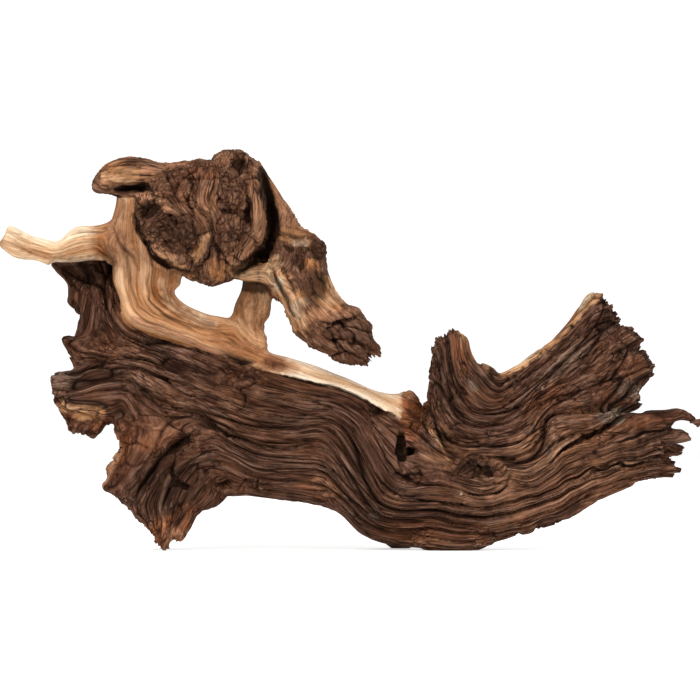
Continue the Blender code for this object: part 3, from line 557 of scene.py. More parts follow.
# %% Grain lines: distance across the grain, and the points (x, z) that the line runs through
TRUNK_GRAIN = [
    (0, [(-149, 172), (-147, 156), (-138, 146), (-122, 140.5), (-104, 134), (-85, 125.5), (-65, 118),
         (-45, 112.5), (-20, 106), (0, 100.5), (12, 94), (20, 86), (31, 79.5), (41, 71.5), (51, 63),
         (63, 57), (74, 53)]),
    (0, [(100, 51), (112, 50), (122, 53), (131, 59), (138, 66), (146, 70), (157, 72), (166, 78),
         (176, 85), (187, 92)]),
    (8, [(-156, 172), (-154, 157), (-147, 145), (-130, 135.5), (-107, 126), (-88, 117.5), (-68, 110),
         (-45, 104.5), (-22, 98.5), (-3, 93), (7, 86), (14, 75), (21, 62), (30, 52), (42, 47), (56, 49),
         (66, 46), (76, 42.5), (88, 40.5), (96, 43), (103, 46), (115, 44), (127, 50), (137, 59),
         (148, 64), (165, 68.5), (185, 77), (210, 82)]),
    (18, [(-163, 172), (-162, 157), (-157, 143), (-140, 131), (-113, 119), (-92, 109), (-70, 100),
          (-48, 95), (-26, 90.5), (-8, 88), (1, 81), (7, 72), (13, 62), (18, 52), (23, 43), (31, 38),
          (44, 37.5), (60, 38), (75, 35), (90, 33), (103, 37.5), (117, 39), (130, 44), (142, 52),
          (158, 58.5), (175, 63.5), (198, 70), (215, 74)]),
    (24, [(-184, 134), (-172, 129), (-160, 127.5), (-150, 126.5), (-140, 125), (-128, 121.5),
          (-113, 114), (-100, 107.5), (-85, 101.5), (-68, 94), (-48, 89.5), (-28, 86.5), (-11, 85.5),
          (-2, 79), (4, 70), (10, 59), (15, 49), (20, 40), (27, 34.5), (40, 33), (56, 33.5),
          (75, 30.5), (92, 29), (107, 32), (122, 36), (134, 41), (148, 48.5), (165, 55), (190, 62),
          (214, 66)]),
    (36, [(-192, 110), (-183, 109.5), (-176, 110), (-169, 113.5), (-160, 115), (-148, 115.5),
          (-141, 115), (-133, 110.5), (-122, 104.5), (-108, 99), (-92, 92), (-75, 84.5), (-60, 78.5),
          (-45, 76.5), (-33, 77.5), (-23, 79), (-13, 77), (-6, 70), (0, 60), (6, 50), (12, 41),
          (18, 33), (26, 28.5), (42, 27), (58, 27), (75, 24), (95, 24), (112, 28), (127, 33),
          (141, 40), (155, 47), (172, 53), (195, 58)]),
    (46, [(-190, 98), (-178, 97.5), (-165, 98), (-150, 97), (-142, 94.5), (-133, 89.5), (-124, 86),
          (-112, 85), (-98, 86), (-88, 80.5), (-75, 73), (-60, 67.5), (-45, 66), (-33, 66.5),
          (-22, 67), (-14, 63.5), (-8, 56), (-2, 47), (5, 38), (13, 30), (22, 24), (36, 22),
          (52, 22.5), (70, 18.5), (92, 18), (112, 22.5), (128, 28), (144, 36.5), (160, 43.5),
          (180, 50), (200, 53.5)]),
    (51, [(-92, 76), (-100, 76), (-107, 72), (-117, 63), (-127, 51), (-135, 41), (-141, 31)]),
    (44, [(-146, 82), (-147, 70), (-151, 56), (-157, 43)]),
    (56, [(-130, 18), (-132, 30), (-126, 42), (-118, 54), (-108, 64), (-97, 70), (-86, 72), (-72, 64),
          (-58, 57.5), (-45, 56.5), (-30, 56), (-20, 55), (-12, 50), (-5, 41), (2, 33), (10, 24.5),
          (20, 18.5), (35, 16.5), (55, 16.5), (75, 13), (95, 13.5), (113, 17), (130, 23), (147, 32),
          (163, 39), (182, 46)]),
    (66, [(-118, 12), (-117, 25), (-113, 38), (-107, 48), (-98, 56), (-90, 58), (-80, 57), (-66, 50),
          (-50, 47.5), (-35, 47), (-22, 45.5), (-13, 41), (-5, 32.5), (3, 24), (11, 16.5), (22, 11.5),
          (38, 9.5), (58, 9.5), (78, 7.5), (98, 9.5), (117, 13.5), (135, 20), (155, 30)]),
    (72, [(-112, 14), (-107, 24), (-102, 35), (-95, 44), (-86, 49), (-75, 48)]),
    (78, [(-99, 26), (-93, 32), (-86, 39), (-78, 40), (-62, 37), (-45, 34), (-25, 31), (-13, 27),
          (-3, 19), (6, 11.5), (18, 5.5), (40, 2), (62, 0), (85, 2), (105, 7), (130, 16)]),
    (-8, [(47, 84), (52, 74), (60, 65), (70, 58.5), (85, 57.5), (100, 57), (112, 58), (122, 64),
          (128, 71), (134, 78), (142, 81), (153, 83), (165, 87), (182, 98)]),
    (-16, [(50, 95), (54, 84), (61, 73), (71, 66.5), (85, 65.5), (100, 65.5), (112, 69), (121, 78),
           (129, 88), (137, 92), (151, 96), (166, 101), (184, 112)]),
    (-24, [(52, 108), (56, 93), (63, 81), (73, 74), (86, 72.5), (100, 73.5), (112, 79), (124, 91),
           (136, 99), (151, 106), (168, 114), (187, 127)]),
    (-33, [(55, 122), (59, 104), (66, 90), (76, 81.5), (88, 79.5), (101, 81.5), (113, 88), (126, 100),
           (141, 109), (157, 119), (181, 137)]),
    (-43, [(60, 134), (64, 112), (71, 97), (80, 88.5), (91, 87), (103, 90), (116, 100), (131, 113),
           (150, 129), (169, 144)]),
    (-53, [(68, 138), (70, 120), (77, 107), (85, 98), (93, 95), (103, 99), (117, 110), (134, 126),
           (150, 141), (162, 153)]),
    (-62, [(75, 134), (79, 122), (86, 112), (93, 105), (98, 104), (108, 112), (124, 125), (142, 142),
           (158, 161)]),
]
PALE_GRAIN = [
    (0, [(-151, 226), (-155, 210), (-156, 195), (-153, 180), (-152, 170), (-148, 158), (-140, 147),
         (-122, 140.5), (-104, 134), (-85, 125.5), (-65, 118.5), (-45, 112.5), (-20, 106), (0, 100),
         (12, 93.5), (21, 86), (32, 79)]),
    (10, [(-143, 226), (-144, 210), (-144, 195), (-143, 182), (-143, 170), (-140, 158), (-130, 149),
          (-112, 142), (-95, 135.5), (-77, 129), (-60, 122), (-42, 117), (-20, 110), (2, 103.5),
          (15, 97), (25, 90), (35, 84)]),
    (18, [(-135, 226), (-136, 212), (-135, 198), (-133, 185), (-134, 172), (-131, 161), (-120, 152.5),
          (-105, 146.5), (-88, 141), (-75, 137), (-60, 128.5), (-40, 121), (-18, 113), (4, 106),
          (17, 101), (29, 96), (38, 92)]),
    (26, [(-126, 222), (-127, 208), (-124, 195), (-122, 182), (-124, 170), (-119, 163), (-108, 155.5),
          (-97, 149.5), (-84, 147), (-72, 145)]),
    (30, [(-77, 154), (-72, 164), (-69, 174)]),
    (38, [(-66, 146), (-64, 158), (-61, 170)]),
    (46, [(-58, 144), (-54, 156), (-52, 167)]),
    (2, [(-222, 208), (-205, 201.5), (-191, 198), (-178, 204), (-165, 206), (-156, 211), (-151, 220)]),
    (-5, [(-224, 202), (-208, 196), (-192, 192), (-176, 197), (-162, 198)]),
    (-12, [(-222, 195), (-205, 190.5), (-192, 186.5), (-180, 189), (-168, 190), (-158, 188)]),
]
BEAK_GRAIN = [
    (0, [(-68, 246), (-58, 232), (-52, 215), (-50, 200), (-49, 185), (-47, 170), (-40, 156),
         (-33, 144), (-24, 134), (-10, 124)]),
    (10, [(-60, 250), (-50, 235), (-43, 218), (-40, 202), (-38, 188), (-36, 174), (-31, 162),
          (-22, 150), (-12, 139), (0, 128)]),
    (22, [(-55, 250), (-46, 236), (-37, 217), (-28, 205), (-25, 192), (-24, 178), (-19, 166),
          (-9, 156), (2, 145), (12, 134)]),
    (32, [(-34, 212), (-22, 205), (-16, 197), (-14, 184), (-12, 174), (-6, 163), (5, 156),
          (13, 147)]),
    (2, [(-76, 179), (-66, 177.5), (-57, 178), (-50, 172)]),
    (8, [(-74, 184), (-64, 184), (-55, 186), (-47, 182), (-42, 172)]),
]
BURL_GRAIN = [
    (0, [(-166, 234), (-155, 231), (-140, 230), (-128, 232), (-118, 236)]),
    (8, [(-163, 243), (-152, 243), (-138, 243), (-122, 243), (-110, 243)]),
    (16, [(-157, 250), (-146, 252.5), (-132, 253), (-118, 250), (-105, 251)]),
    (-6, [(-137, 213), (-126, 222), (-112, 221), (-101, 211), (-97, 198)]),
    (-14, [(-135, 203), (-126, 211), (-114, 211), (-106, 203), (-103, 192)]),
    (-22, [(-131, 195), (-124, 201), (-116, 201), (-111, 194), (-109, 186)]),
    (22, [(-95, 248), (-97, 235), (-96, 222)]),
    (30, [(-88, 250), (-89, 235), (-88, 220), (-84, 205), (-86, 190)]),
    (40, [(-76, 255), (-78, 240), (-78, 220), (-76, 205), (-80, 190)]),
    (52, [(-64, 250), (-63, 235), (-62, 220), (-64, 205), (-72, 192)]),
    (60, [(-57, 240), (-55.5, 225), (-57, 210), (-65, 195)]),
]

# %% The grain field
GRAIN_SLACK = 1e-5
GRAIN_SCALE = 100.0
TINY = 1e-12
GRID_STEP = 1.5
GRID_LOW = (-240.0, -12.0)
GRID_SIZE = (322, 190)
GRID_BORDER = 1.001


def across_field(lines):
    """Distance across the grain on a grid: a plane plus, for each point of a line, a weight times
    r squared times the logarithm of r."""
    known = np.array([(px, pz, value) for value, line in lines for px, pz in line], float)
    known[:, :2] /= GRAIN_SCALE

    def terms(ax, az):
        """What each known point adds at these places, and the plane's three terms."""
        squared = (ax[:, None] - known[:, 0]) ** 2 + (az[:, None] - known[:, 1]) ** 2
        return 0.5 * squared * np.log(squared + TINY), np.column_stack([np.ones(len(ax)), ax, az])

    count = len(known)
    bend, plane = terms(known[:, 0], known[:, 1])
    system = np.zeros((count + 3, count + 3))
    system[:count, :count] = bend + np.eye(count) * GRAIN_SLACK
    system[:count, count:] = plane
    system[count:, :count] = plane.T
    weights = np.linalg.solve(system, np.append(known[:, 2], np.zeros(3)))
    grid_x = (GRID_LOW[0] + GRID_STEP * np.arange(GRID_SIZE[0])) / GRAIN_SCALE
    rows = []
    for z in (GRID_LOW[1] + GRID_STEP * np.arange(GRID_SIZE[1])) / GRAIN_SCALE:
        bend, plane = terms(grid_x, np.full(len(grid_x), z))
        rows.append(bend @ weights[:count] + plane @ weights[count:])
    return np.array(rows).T


def along_field(run_x, run_z):
    """Distance along the grain on the grid: the field whose slope comes nearest to the grain's
    direction. Its waves are minus i times (k . direction) over k squared, worked out on a grid that is
    mirrored at its borders."""
    def mirrored(field, flip_x, flip_z):
        """The field with its mirror image beside it, upright and level; -1 also turns its sign."""
        field = np.concatenate([field, flip_x * field[::-1]], axis=0)
        return np.concatenate([field, flip_z * field[:, ::-1]], axis=1)

    waves_x = np.fft.fft2(mirrored(run_x, -1, 1))
    waves_z = np.fft.fft2(mirrored(run_z, 1, -1))
    k_x = np.fft.fftfreq(2 * GRID_SIZE[0], GRID_STEP)[:, None] * math.tau
    k_z = np.fft.fftfreq(2 * GRID_SIZE[1], GRID_STEP)[None, :] * math.tau
    waves = -1j * (k_x * waves_x + k_z * waves_z) / (k_x**2 + k_z**2 + TINY)
    return np.fft.ifft2(waves).real[:GRID_SIZE[0], :GRID_SIZE[1]]


def sample(field, x, z):
    """The grid's value at each point, in between its four corners by how near they are."""
    u = np.clip((x - GRID_LOW[0]) / GRID_STEP, 0, GRID_SIZE[0] - GRID_BORDER)
    v = np.clip((z - GRID_LOW[1]) / GRID_STEP, 0, GRID_SIZE[1] - GRID_BORDER)
    i, j = u.astype(int), v.astype(int)
    s, t = u - i, v - j
    return ((1 - s) * (1 - t) * field[i, j] + s * (1 - t) * field[i + 1, j]
            + (1 - s) * t * field[i, j + 1] + s * t * field[i + 1, j + 1])


# %% [markdown]
# ## Noise that can be carved
#
# Two kinds of noise do all the carving. Cell noise scatters one seed in every cell of space and
# compares the distances to the two nearest seeds: the difference is nothing on the wall between two
# seeds and grows towards each of them, so it draws ridges with narrow cracks in between. Stretching
# space along the grain turns the cells into long ridges. Cloud noise is a smooth random field, for
# patches that have no edges.

# %% Cell noise and cloud noise
def scattered(cell, salt):
    """One repeatable number from 0 to 1 for each whole-number cell of space. The large odd numbers
    only stir the bits, and another salt stirs them into another field."""
    whole = cell.astype(np.int64).astype(np.uint64)
    mixed = (whole[..., 0] * np.uint64(73856093) ^ whole[..., 1] * np.uint64(19349663)
             ^ whole[..., 2] * np.uint64(83492791) ^ np.uint64(salt * 2654435761))
    mixed = (mixed ^ (mixed >> np.uint64(15))) * np.uint64(2246822519)
    mixed = (mixed ^ (mixed >> np.uint64(13))) * np.uint64(3266489917)
    mixed = mixed ^ (mixed >> np.uint64(16))
    return (mixed & np.uint64(0xFFFFFFFF)).astype(float) / float(0xFFFFFFFF)


def cells(points, salt):
    """For each point, the distance to the second nearest seed less that to the nearest, and a random
    number that belongs to the nearest seed."""
    home = np.floor(points).astype(np.int64)
    low = home.min(axis=0) - 1
    size = home.max(axis=0) - low + 2
    corner = np.stack(np.meshgrid(*[np.arange(count) for count in size], indexing="ij"), -1) + low
    draws = np.stack([scattered(corner, salt + k) for k in range(3)], -1)
    seeds = (corner + draws).reshape(-1, 3)
    stride = np.array([size[1] * size[2], size[2], 1])
    start = (home - low) @ stride
    nearest = np.full(len(points), np.inf)
    second = nearest.copy()
    owner = start.copy()
    for shift in np.ndindex(3, 3, 3):
        index = start + (np.array(shift) - 1) @ stride
        offset = points - seeds[index]
        gap = np.einsum("ij,ij->i", offset, offset)
        second = np.minimum(second, np.maximum(gap, nearest))
        owner = np.where(gap < nearest, index, owner)
        nearest = np.minimum(nearest, gap)
    return np.sqrt(second) - np.sqrt(nearest), (draws.sum(axis=-1).ravel()[owner] * 7.0) % 1.0


def cloud(points, salt):
    """A smooth random field from 0 to 1: random numbers at the corners of each cell, blended."""
    home = np.floor(points)
    t = points - home
    t = t * t * (3.0 - 2.0 * t)
    value = np.zeros(len(points))
    for corner in np.ndindex(2, 2, 2):
        share = np.prod(np.where(corner, t, 1.0 - t), axis=1)
        value += share * scattered(home + corner, salt)
    return value


def dome(gap, rim):
    """0 on the crack between two cells, rising steeply and then levelling to 1 at the rim."""
    return np.sqrt(np.clip(gap / rim, 0.0, 1.0))


def soft_step(value, start, end):
    """0 before the start and 1 after the end, with a slope that is level at both."""
    t = np.clip((value - start) / (end - start), 0.0, 1.0)
    return t * t * (3.0 - 2.0 * t)


# %% Distance across, distance along and direction of the grain at every point of the skin
WANDER = 2.2
WANDER_SIZE = np.array([34.0, 13.0, 16.0])


def grain_at(lines, salt):
    """Across, along, and the fibre's direction in the front plane. The direction is square to the
    slope of the distance across, which wanders a little, as real fibres do."""
    x, y, z = rest.T
    field = across_field(lines)
    slope_x, slope_z = np.gradient(field, GRID_STEP)
    steep = np.hypot(slope_x, slope_z) + TINY
    along = sample(along_field(slope_z / steep, -slope_x / steep), x, z)
    across = sample(field, x, z)
    across += WANDER * (cloud(np.column_stack([along, across, y]) / WANDER_SIZE, salt) - 0.5)
    direction = np.column_stack([sample(slope_z, x, z), np.zeros(len(x)), -sample(slope_x, x, z)])
    direction /= np.linalg.norm(direction, axis=1)[:, None] + TINY
    return across, along, direction

# %% [markdown]
# ## The outline, to the millimetre
#
# The limbs give the outline to about three millimetres. Small soft pushes in the front plane bring
# the skin the rest of the way: each row moves what lies near a place, and the move fades with the
# distance from it. It is the sculptor's grab brush, written down.

# %% Pushes: x, z, reach, move in x, move in z
PUSHES = [
    (-185, 182, 9, -5, 2), (-181, 184, 8, -7, 1), (-174, 206, 9, 0, 1.8), (-198, 199, 6, 0, 1.5),
    (-215, 195, 12, -0.5, -1.2), (-184, 165, 6, -4.5, 0), (-178, 154, 5, 2, 0), (-182, 137, 7, -3.5, 0),
    (-189, 114, 8, -1.5, 1.5), (-181, 81, 6, -3, -2), (-164, 77, 5, 0, -3), (-159, 80, 4, 0, 1.5),
    (-152, 62, 11, 3, 0), (-160, 47, 5, 1, 0), (-158, 41, 5, -1, 0), (-152, 35, 4, 1, 1),
    (-146, 27, 8, 2, 1.2), (-128, 12, 5, -2, 0), (-106, 14, 6, 0.5, -1), (-125, 2, 4, 2.5, 0),
    (-114, 3, 5, -3, 0), (-187, 184, 6, -4, 1),
    (-88, 33, 8, 0, -1.5), (-77, 38, 7, 0, -3), (0, 16, 12, 0.6, 0.6), (-98, 251, 9, 0, 4),
    (-49, 239, 10, -1, -0.5), (-38, 216, 8, 2, 0.5), (-14, 190, 6, -1.5, 0), (12, 150, 8, -1.5, 0),
    (18, 135, 5, -2, 0), (8, 124, 6, 2, -3), (-34, 141, 11, -3, -2), (-22, 131, 6, -1, -1.5),
    (-8, 121, 8, 0, -2), (-42, 156, 8, -0.8, 0), (-54, 152, 6, 2.5, 0), (-51, 168, 5, 0, -5),
    (-112, 177, 7, 5, -3), (-90, 175, 12, 0, -1.5), (-111, 169, 6, -1.5, 0), (-94, 154, 12, 0, 1),
    (-72, 162, 8, -1, 0), (37, 102, 4, 0, 1.5), (47, 91, 4, 0, 4), (57, 138, 5, 0.8, -0.8),
    (76, 136, 7, 1.5, 0), (92, 118, 6, 0.5, 1), (112, 121, 16, -0.3, 0.5), (140, 150, 14, 0.8, -0.8),
    (163, 165, 5, 3, 0), (187, 146, 9, -6, -2), (190, 134, 4, 1.5, 0), (196, 112, 11, 2.5, 0),
    (183, 94, 7, 6, -1), (207, 92, 8, 0, -0.7), (205, 81, 5, 4, 0), (216, 80, 5, 0, 1.5),
    (214, 71, 5, 3, 0), (208, 63, 5, 4.5, 0), (205, 50, 12, 0, -0.4), (165, 36, 14, 0, 0.6),
    (137, 19, 14, 0.5, -1.5), (-10, 108, 20, 0.5, 1),
]
for x, z, reach, move_x, move_z in PUSHES:
    share = np.exp(-((rest[:, 0] - x) ** 2 + (rest[:, 2] - z) ** 2) / reach**2)
    rest[:, 0] += move_x * share
    rest[:, 2] += move_z * share
write_points(skin.data, rest)
outward = read_normals(skin.data)
print("pushes:", len(PUSHES))

# %% [markdown]
# ## Hollows and creases of this very root
#
# Noise gives the kind of surface, but not the marks that make this root itself: the eye of the burl,
# the slit beside the pale knob, the crevice on the foot. Those are pressed in before the grain is
# carved, so that the ridges run through them. A hollow is a soft oval dent, and a crease is a groove
# along a short line that sways a little and tapers to both ends. Both push the front of the skin
# straight back, and fade out where it turns away from the front.

# %% Hollows: x, z of the middle, half width, half height, depth
HOLLOWS = [
    (-132, 220, 8, 6, 9),
    (-138, 235, 13, 3, 7),
    (-70, 249, 5, 4, 6),
    (-93, 222, 4, 14, 5),
    (-102, 186, 4, 7, 5),
    (33, 67, 1.8, 9, 8),
    (38, 64.5, 5, 2, 5),
    (84, 53, 13, 7, 7),
    (40, 49, 10, 3, 5),
    (-172, 86, 12, 6, 7),
    (-112, 68, 11, 6, 8),
    (-129, 48, 7, 14, 6),
    (-168, 180, 15, 7, 5),
    (-78, 113, 8, 7, 5),
    (-48, 119, 7, 5, 6),
    (160, 74, 14, 3, 6),
    (-30, 180, 4, 14, 4),
    (-6, 142, 3, 12, 4),
]

# %% Creases: depth, half width, and the points (x, z) that the groove runs through
CREASES = [
    (6.0, 2.2, [(-153, 234), (-143, 234), (-131, 236)]),
    (1.2, 1.0, [(-158, 239), (-156.5, 244), (-151, 248), (-140, 249), (-128, 246)]),
    (5.0, 1.4, [(-139, 219), (-137, 208), (-131, 199), (-125, 190), (-115, 184), (-103, 180)]),
    (2.2, 1.0, [(-154, 211), (-149, 200), (-140, 189), (-137, 182)]),
    (2.4, 1.0, [(-129.5, 183), (-131.5, 172), (-129.5, 163), (-121.5, 153), (-100, 142)]),
    (1.6, 0.9, [(-121, 153), (-104, 146), (-84, 142), (-72, 138)]),
    (1.5, 1.1, [(-146, 205), (-144, 190), (-142, 172), (-137, 158), (-124, 148)]),
    (2.0, 1.0, [(-180, 204), (-172, 206), (-158, 206)]),
    (1.4, 0.9, [(-72, 166), (-69, 150), (-66, 140)]),
    (1.4, 0.9, [(-63, 168), (-61, 152), (-60, 136)]),
    (3.0, 1.5, [(-46, 186), (-40, 176), (-35, 164)]),
    (3.2, 1.3, [(-52, 184), (-45, 170), (-38, 154), (-32, 146)]),
    (2.5, 1.2, [(-48, 207), (-38, 204), (-30, 203), (-22, 202)]),
    (2.5, 1.2, [(-44, 198), (-36, 195), (-28, 197)]),
    (2.5, 1.0, [(-24, 186), (-20, 176), (-13, 168)]),
    (9.0, 3.2, [(-57, 247), (-54.5, 232), (-51.5, 218), (-51, 206), (-55, 196)]),
    (4.0, 3.0, [(-50, 206), (-56, 194), (-65, 186), (-74, 180)]),
    (3.2, 1.2, [(-119, 248), (-117, 239), (-113, 230)]),
    (3.2, 1.2, [(-104, 247), (-101, 236), (-104, 227), (-101, 216)]),
    (3.0, 1.1, [(-71, 240), (-67, 228), (-66, 214), (-68, 203)]),
    (2.6, 1.0, [(-84, 236), (-84, 226), (-80, 218), (-70, 219)]),
    (2.4, 0.9, [(-125, 212), (-116, 209), (-108, 202)]),
    (2.4, 0.9, [(-118, 219), (-113, 212), (-105, 211)]),
    (2.4, 0.9, [(-122, 205), (-118, 199), (-110, 195)]),
    (3.0, 1.2, [(-90, 204), (-85, 196), (-83, 188), (-74, 183)]),
    (4.0, 1.5, [(-80, 127), (-71, 122.5), (-61, 122)]),
    (3.0, 1.0, [(-56, 116.5), (-37, 111.5), (-25.5, 109), (-8, 105), (3.5, 100.5), (15, 93.5), (32, 85)]),
    (2.5, 1.6, [(-50, 180), (-43, 168), (-37, 158)]),
    (3.5, 1.2, [(-23, 148), (-8, 147), (8, 150)]),
    (3.5, 1.2, [(-14, 146), (-10, 136), (-6, 128)]),
    (2.5, 1.2, [(-4, 140), (8, 134), (16, 128)]),
    (5.0, 1.3, [(131, 57), (139, 66), (147, 71), (161, 77), (173, 85), (187, 94)]),
    (3.0, 1.2, [(145, 41), (157, 51), (173, 55), (208, 58)]),
    (3.5, 1.1, [(162, 68), (184, 73), (210, 81)]),
    (3.0, 1.0, [(-137, 89), (-122, 86), (-106, 86), (-92, 83), (-79, 75), (-56, 67.5), (-32, 66.5)]),
    (5.0, 2.6, [(-98, 76), (-108, 73), (-116, 66), (-124, 57), (-131, 48), (-137, 38), (-141, 30)]),
    (3.5, 1.6, [(-112, 64), (-116, 54), (-114, 44), (-104, 41)]),
    (3.0, 1.4, [(104, 50), (101, 43), (94, 38), (84, 36), (74, 38)]),
    (3.0, 0.9, [(-152, 121), (-135, 119), (-120, 110), (-105, 101), (-88, 94)]),
    (3.0, 1.0, [(-138, 109), (-128, 97), (-118, 90)]),
    (3.0, 1.0, [(15, 76), (22, 60), (30, 50), (44, 44), (66, 41)]),
    (2.5, 0.9, [(12, 56), (20, 44), (34, 34), (60, 31), (84, 29)]),
    (2.5, 1.0, [(70, 62), (86, 60), (106, 60), (118, 66), (126, 76)]),
]
FRONT_REACH = 6.0
FACING_GAIN = 1.6
SWAY, SWAY_SIZE = 2.4, 7.0
BLUNT_END = 0.03


def press(points, outward, x, z, width, height, depth):
    """Pushes the skin back by a bell of this size, on what faces the front."""
    near = ((points[:, 0] - x) / width) ** 2 + ((points[:, 2] - z) / height) ** 2
    facing = np.clip(-outward[:, 1] * FACING_GAIN, 0.0, 1.0) * (points[:, 1] < FRONT_REACH)
    return depth * np.exp(-near) * facing


def beside(front, line):
    """How far each point of the front plane is from a line through points, and where along the line
    the nearest place is, from 0 to 1."""
    line = np.array(line, float)
    steps = np.diff(line, axis=0)
    lengths = np.linalg.norm(steps, axis=1)
    done = np.concatenate([[0.0], np.cumsum(lengths)]) / lengths.sum()
    away = np.full(len(front), np.inf)
    place = np.zeros(len(front))
    for start, step, length, begun, ended in zip(line, steps, lengths, done[:-1], done[1:]):
        offset = front - start
        t = np.clip(offset @ step / length**2, 0.0, 1.0)
        gap = np.linalg.norm(offset - t[:, None] * step, axis=1)
        place = np.where(gap < away, begun + t * (ended - begun), place)
        away = np.minimum(away, gap)
    return away, place


def near_line(line, reach):
    """The numbers of the points that could be within reach of a line."""
    line = np.array(line, float)
    front = rest[:, [0, 2]]
    return np.flatnonzero(((front > line.min(axis=0) - reach)
                           & (front < line.max(axis=0) + reach)).all(axis=1))


def crease_push(depth, width, line):
    """The push of one groove: a bell across the line, which tapers to nothing at its two ends."""
    here = near_line(line, 3 * width)
    here = here[(rest[here, 1] < FRONT_REACH) & (outward[here, 1] < 0)]
    sway = np.column_stack([cloud(rest[here] / SWAY_SIZE, salt) for salt in (101, 103)]) - 0.5
    away, place = beside(rest[here][:, [0, 2]] + SWAY * sway, line)
    taper = np.sin(np.clip(place, BLUNT_END, 1.0 - BLUNT_END) * math.pi) ** 0.5
    push = np.zeros(len(rest))
    facing = np.clip(-outward[here, 1] * FACING_GAIN, 0.0, 1.0)
    push[here] = depth * taper * np.exp(-((away / (width * (0.5 + 0.5 * taper))) ** 2)) * facing
    return push


dents = np.zeros(len(rest))
for x, z, width, height, depth in HOLLOWS:
    dents = np.maximum(dents, press(rest, outward, x, z, width, height, depth))
creased = sum(crease_push(*crease) for crease in CREASES)
rest[:, 1] += dents + creased
write_points(skin.data, rest)
outward = read_normals(skin.data)
print("deepest dent and crease:", round(float(dents.max()), 1), round(float(creased.max()), 1), "mm")

# %% Grain of the four kinds of wood
bark_grain = grain_at(TRUNK_GRAIN, 5)
pale_grain = grain_at(PALE_GRAIN, 6)
burl_grain = grain_at(BURL_GRAIN, 7)
beak_grain = grain_at(BEAK_GRAIN, 8)
print("grain runs from", round(float(bark_grain[1].min())), "to", round(float(bark_grain[1].max())), "mm")

# %% [markdown]
# ## Carving the bark wood
#
# Bark wood splits into ridges about a centimetre wide, those into strands half as wide, and the
# strands into fibres. Three sizes of cell noise, stretched along the grain, make them: flat tops with
# narrow, deep cracks. The cracks open and close along their way, and every strand sits a little higher
# or lower than the next, as wood does that has dried and shrunk apart. In patches, a fourth layer of
# short cells lifts whole plates of bark.

# %% Ridges, strands and fibres
FAINT = 0.01
FULL_RELIEF_THICKNESS = 13.0
CELL_DEPTH = 1.8
CLOSED, OPEN_FROM, OPEN_AT = 0.15, 0.3, 0.62
BARK_RISE = 0.9
TOP_LEVEL = 0.85
# Size of the cells (length, width); how far their cracks stay alike (length, width); tops (height,
# rim); cracks (depth, rim, level that is left alone); step between cells; painted shade in the cracks
# (amount, rim); salts
BARK_LAYERS = [
    ((240.0, 10.5), (45.0, 9.0), (2.0, 0.45), (2.4, 0.2, 1.0), 2.0, (1.25, 0.2), (3, 5)),
    ((130.0, 4.6), (30.0, 6.0), (0.6, 0.5), (1.3, 0.28, 1.0), 0.8, (0.85, 0.26), (11, 15)),
    ((40.0, 2.1), (16.0, 4.0), (0.0, 0.5), (0.6, 0.5, 0.8), 0.3, (0.5, 0.5), (23, 25)),
]
PLATE_LENGTH, PLATE_WIDTH, PLATE_STEP = 13.0, 5.0, 0.7
lift = np.zeros(len(rest))
# How dark each point is painted in its cracks, folds and creases: painted shade.
crack_shade = np.zeros(len(rest))
x, y, z = rest.T
blotch = cloud(rest / 26.0, 71) * 0.7 + cloud(rest / 11.0, 75) * 0.3


def stretched_cells(grain, here, length, width, salt):
    """Cells that are long along the grain and narrow across it and in depth."""
    across, along, _ = grain
    return cells(np.column_stack([along[here] / length, across[here] / width,
                                  y[here] / (CELL_DEPTH * width)]), salt)


def openness(grain, here, length, width, salt):
    """How far a crack is open along its way: nearly nothing where it has closed, 1 where it gapes."""
    across, along, _ = grain
    drift = cloud(np.column_stack([along[here] / length, across[here] / width, y[here] / width]), salt)
    return CLOSED + (1.0 - CLOSED) * soft_step(drift, OPEN_FROM, OPEN_AT)


here = np.flatnonzero(bark > FAINT)
up = np.full(len(here), BARK_RISE)
deep = np.zeros(len(here))
for size, alike, (top, top_rim), (depth, rim, level), step, (dark_and_shade, dark_rim), salts in BARK_LAYERS:
    gap, owner = stretched_cells(bark_grain, here, *size, salts[0])
    gape = openness(bark_grain, here, *alike, salts[1])
    up += top * (dome(gap, top_rim) - TOP_LEVEL) + depth * gape * (dome(gap, rim) - level)
    up += step * (owner - 0.5)
    deep = np.maximum(deep, np.minimum(dark_and_shade * gape * (1.0 - dome(gap, dark_rim)), 1.0))
_, owner = stretched_cells(bark_grain, here, PLATE_LENGTH, PLATE_WIDTH, 31)
up += PLATE_STEP * (owner - 0.5) * soft_step(blotch[here], 0.4, 0.6)
lift[here] += bark[here] * up
crack_shade[here] += bark[here] * deep
print("bark relief from", round(float(up.min()), 1), "to", round(float(up.max()), 1), "mm")

# %% [markdown]
# ## Wearing the pale wood smooth
#
# Where the bark is gone, sand and water have rounded the ridges to shallow flutes. Stretched cells do
# this too, but wider ones, whose tops are round from one side to the other, so there is hardly a crack
# left between two of them. The few cracks that are left are fine ones.

# %% Flutes of the pale wood
PALE_RISE = 0.4
FLUTE_RIM = 1.0
CRACK_DEPTH = 0.6
